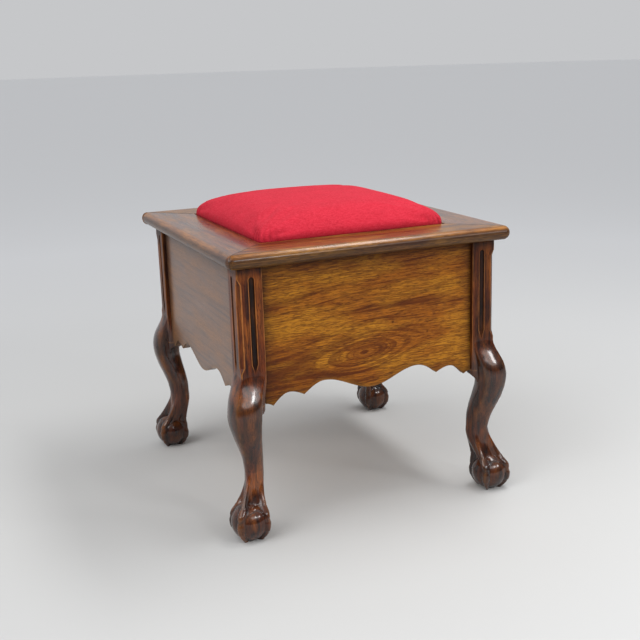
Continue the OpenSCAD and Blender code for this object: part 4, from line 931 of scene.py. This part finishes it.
studio = dict(
    wall="#c6c7c9", floorNear="#bfbfbe", floorFar="#d4d5d7", floorRadius=40000, floorCorners=72, nearTo=500,
    farFrom=2300, floorRoughness=0.9, floorSpecular=0.1,
    ambient=0.92, frontShade=0.08, frontAmbient=0.8, behindRange=(-0.35, 0.35), aboveRange=(0.12, 0.8),
    sun=dict(place=(-0.6, -0.2, 0.78), angle=54, strength=1.1),
    lamps=[  # name, place, aim and size in millimetres, power in watts
        ("window", (150, -1800, 1230), (0, 0, 230), (1500, 560), 6),
        ("windowCore", (560, -2000, 1400), (0, 0, 230), (240, 240), 5),
        ("sideWindow", (1050, -1620, 1100), (0, 0, 230), (900, 460), 3),
        ("sideCore", (1290, -1450, 1070), (0, 0, 230), (240, 240), 3),
        ("leftFill", (-2400, -900, 1700), (0, 0, 230), (1800, 1200), 16),
        ("overhead", (630, -150, 1850), (0, -200, 430), (1300, 400), 17)],
    cameraAt=(-661.759, -1590.097, 712.776), lens=58.18, sensor=36.0,
    cameraRight=(0.918148, -0.394981, -0.031523), cameraUp=(0.127855, 0.220022, 0.967080),
    cameraForward=(0.375042, 0.891953, -0.252513))


def paperFloor(c):  # seamless paper: even, matt and pale, a little lighter far off
    turns = np.linspace(0, 2 * math.pi, c["floorCorners"], endpoint=False)
    ring = [(c["floorRadius"] * math.cos(a), c["floorRadius"] * math.sin(a), 0) for a in turns]
    floor = makePiece("floor", ring, [list(range(len(ring)))])
    material, add = newMaterial("matPaper")
    away = add("VectorMath", [add("TexCoord")["Object"]], operation="LENGTH")["Value"]
    share = add("MapRange", [away, c["nearTo"] * mm, c["farFrom"] * mm])[0]
    color = layered(add, c["floorNear"], [(share, c["floorFar"])])
    shader = add("BsdfPrincipled", {
        "Base Color": color, "Roughness": c["floorRoughness"], "Specular IOR Level": c["floorSpecular"]})
    add("OutputMaterial", [shader[0]])
    floor.data.materials.append(material)


def roomLight(c):  # open above, beside and behind, and dim on the side where the photographer stands
    world = bpy.data.worlds.new("studio")
    bpy.context.scene.world = world
    world.use_nodes = True
    world.node_tree.nodes.clear()
    add = partial(addNode, world.node_tree)
    toward = add("SeparateXYZ", [add("TexCoord")["Generated"]])
    behind = add("MapRange", [toward[1], *c["behindRange"]])[0]
    overhead = add("MapRange", [toward[2], *c["aboveRange"]])[0]
    lit = add("Math", [behind, overhead], operation="MAXIMUM")[0]
    seen = add("LightPath")
    reflected = add("MapRange", [lit, 0.0, 1.0, c["frontShade"], 1.0])[0]
    scattered = add("MapRange", [lit, 0.0, 1.0, c["frontAmbient"] * c["ambient"], c["ambient"]])[0]
    strength = add("MapRange", [seen["Is Diffuse Ray"], 0.0, 1.0, reflected, scattered])[0]
    strength = add("MapRange", [seen["Is Camera Ray"], 0.0, 1.0, strength, 1.0])[0]
    add("OutputWorld", [add("Background", {"Color": c["wall"], "Strength": strength})[0]])


def facing(direction):  # the turn of a lamp that stands in that direction from what it lights
    return Vector(direction).to_track_quat("Z", "Y").to_euler()


def lightAndCamera(c):
    sun = bpy.data.lights.new("sun", "SUN")
    sun.energy, sun.angle = c["sun"]["strength"], math.radians(c["sun"]["angle"])
    addObject("sun", sun).rotation_euler = facing(c["sun"]["place"])
    for name, at, aim, size, power in c["lamps"]:
        data = bpy.data.lights.new(name, "AREA")
        data.shape, data.energy = "ELLIPSE", power
        data.size, data.size_y = (v * mm for v in size)
        lamp = addObject(name, data)
        lamp.location = Vector(at) * mm
        lamp.rotation_euler = facing(Vector(at) - Vector(aim))
    data = bpy.data.cameras.new("camera")
    data.sensor_width, data.lens = c["sensor"], c["lens"]
    camera = addObject("camera", data)
    right, up, forward = (Vector(c[key]) for key in ("cameraRight", "cameraUp", "cameraForward"))
    turn = Matrix((right, up, -forward)).transposed().to_4x4()
    camera.matrix_world = Matrix.Translation(Vector(c["cameraAt"]) * mm) @ turn
    bpy.context.scene.camera = camera
    bpy.context.scene.view_settings.view_transform = "Standard"


paperFloor(studio)
roomLight(studio)
lightAndCamera(studio)
print("studio ready")
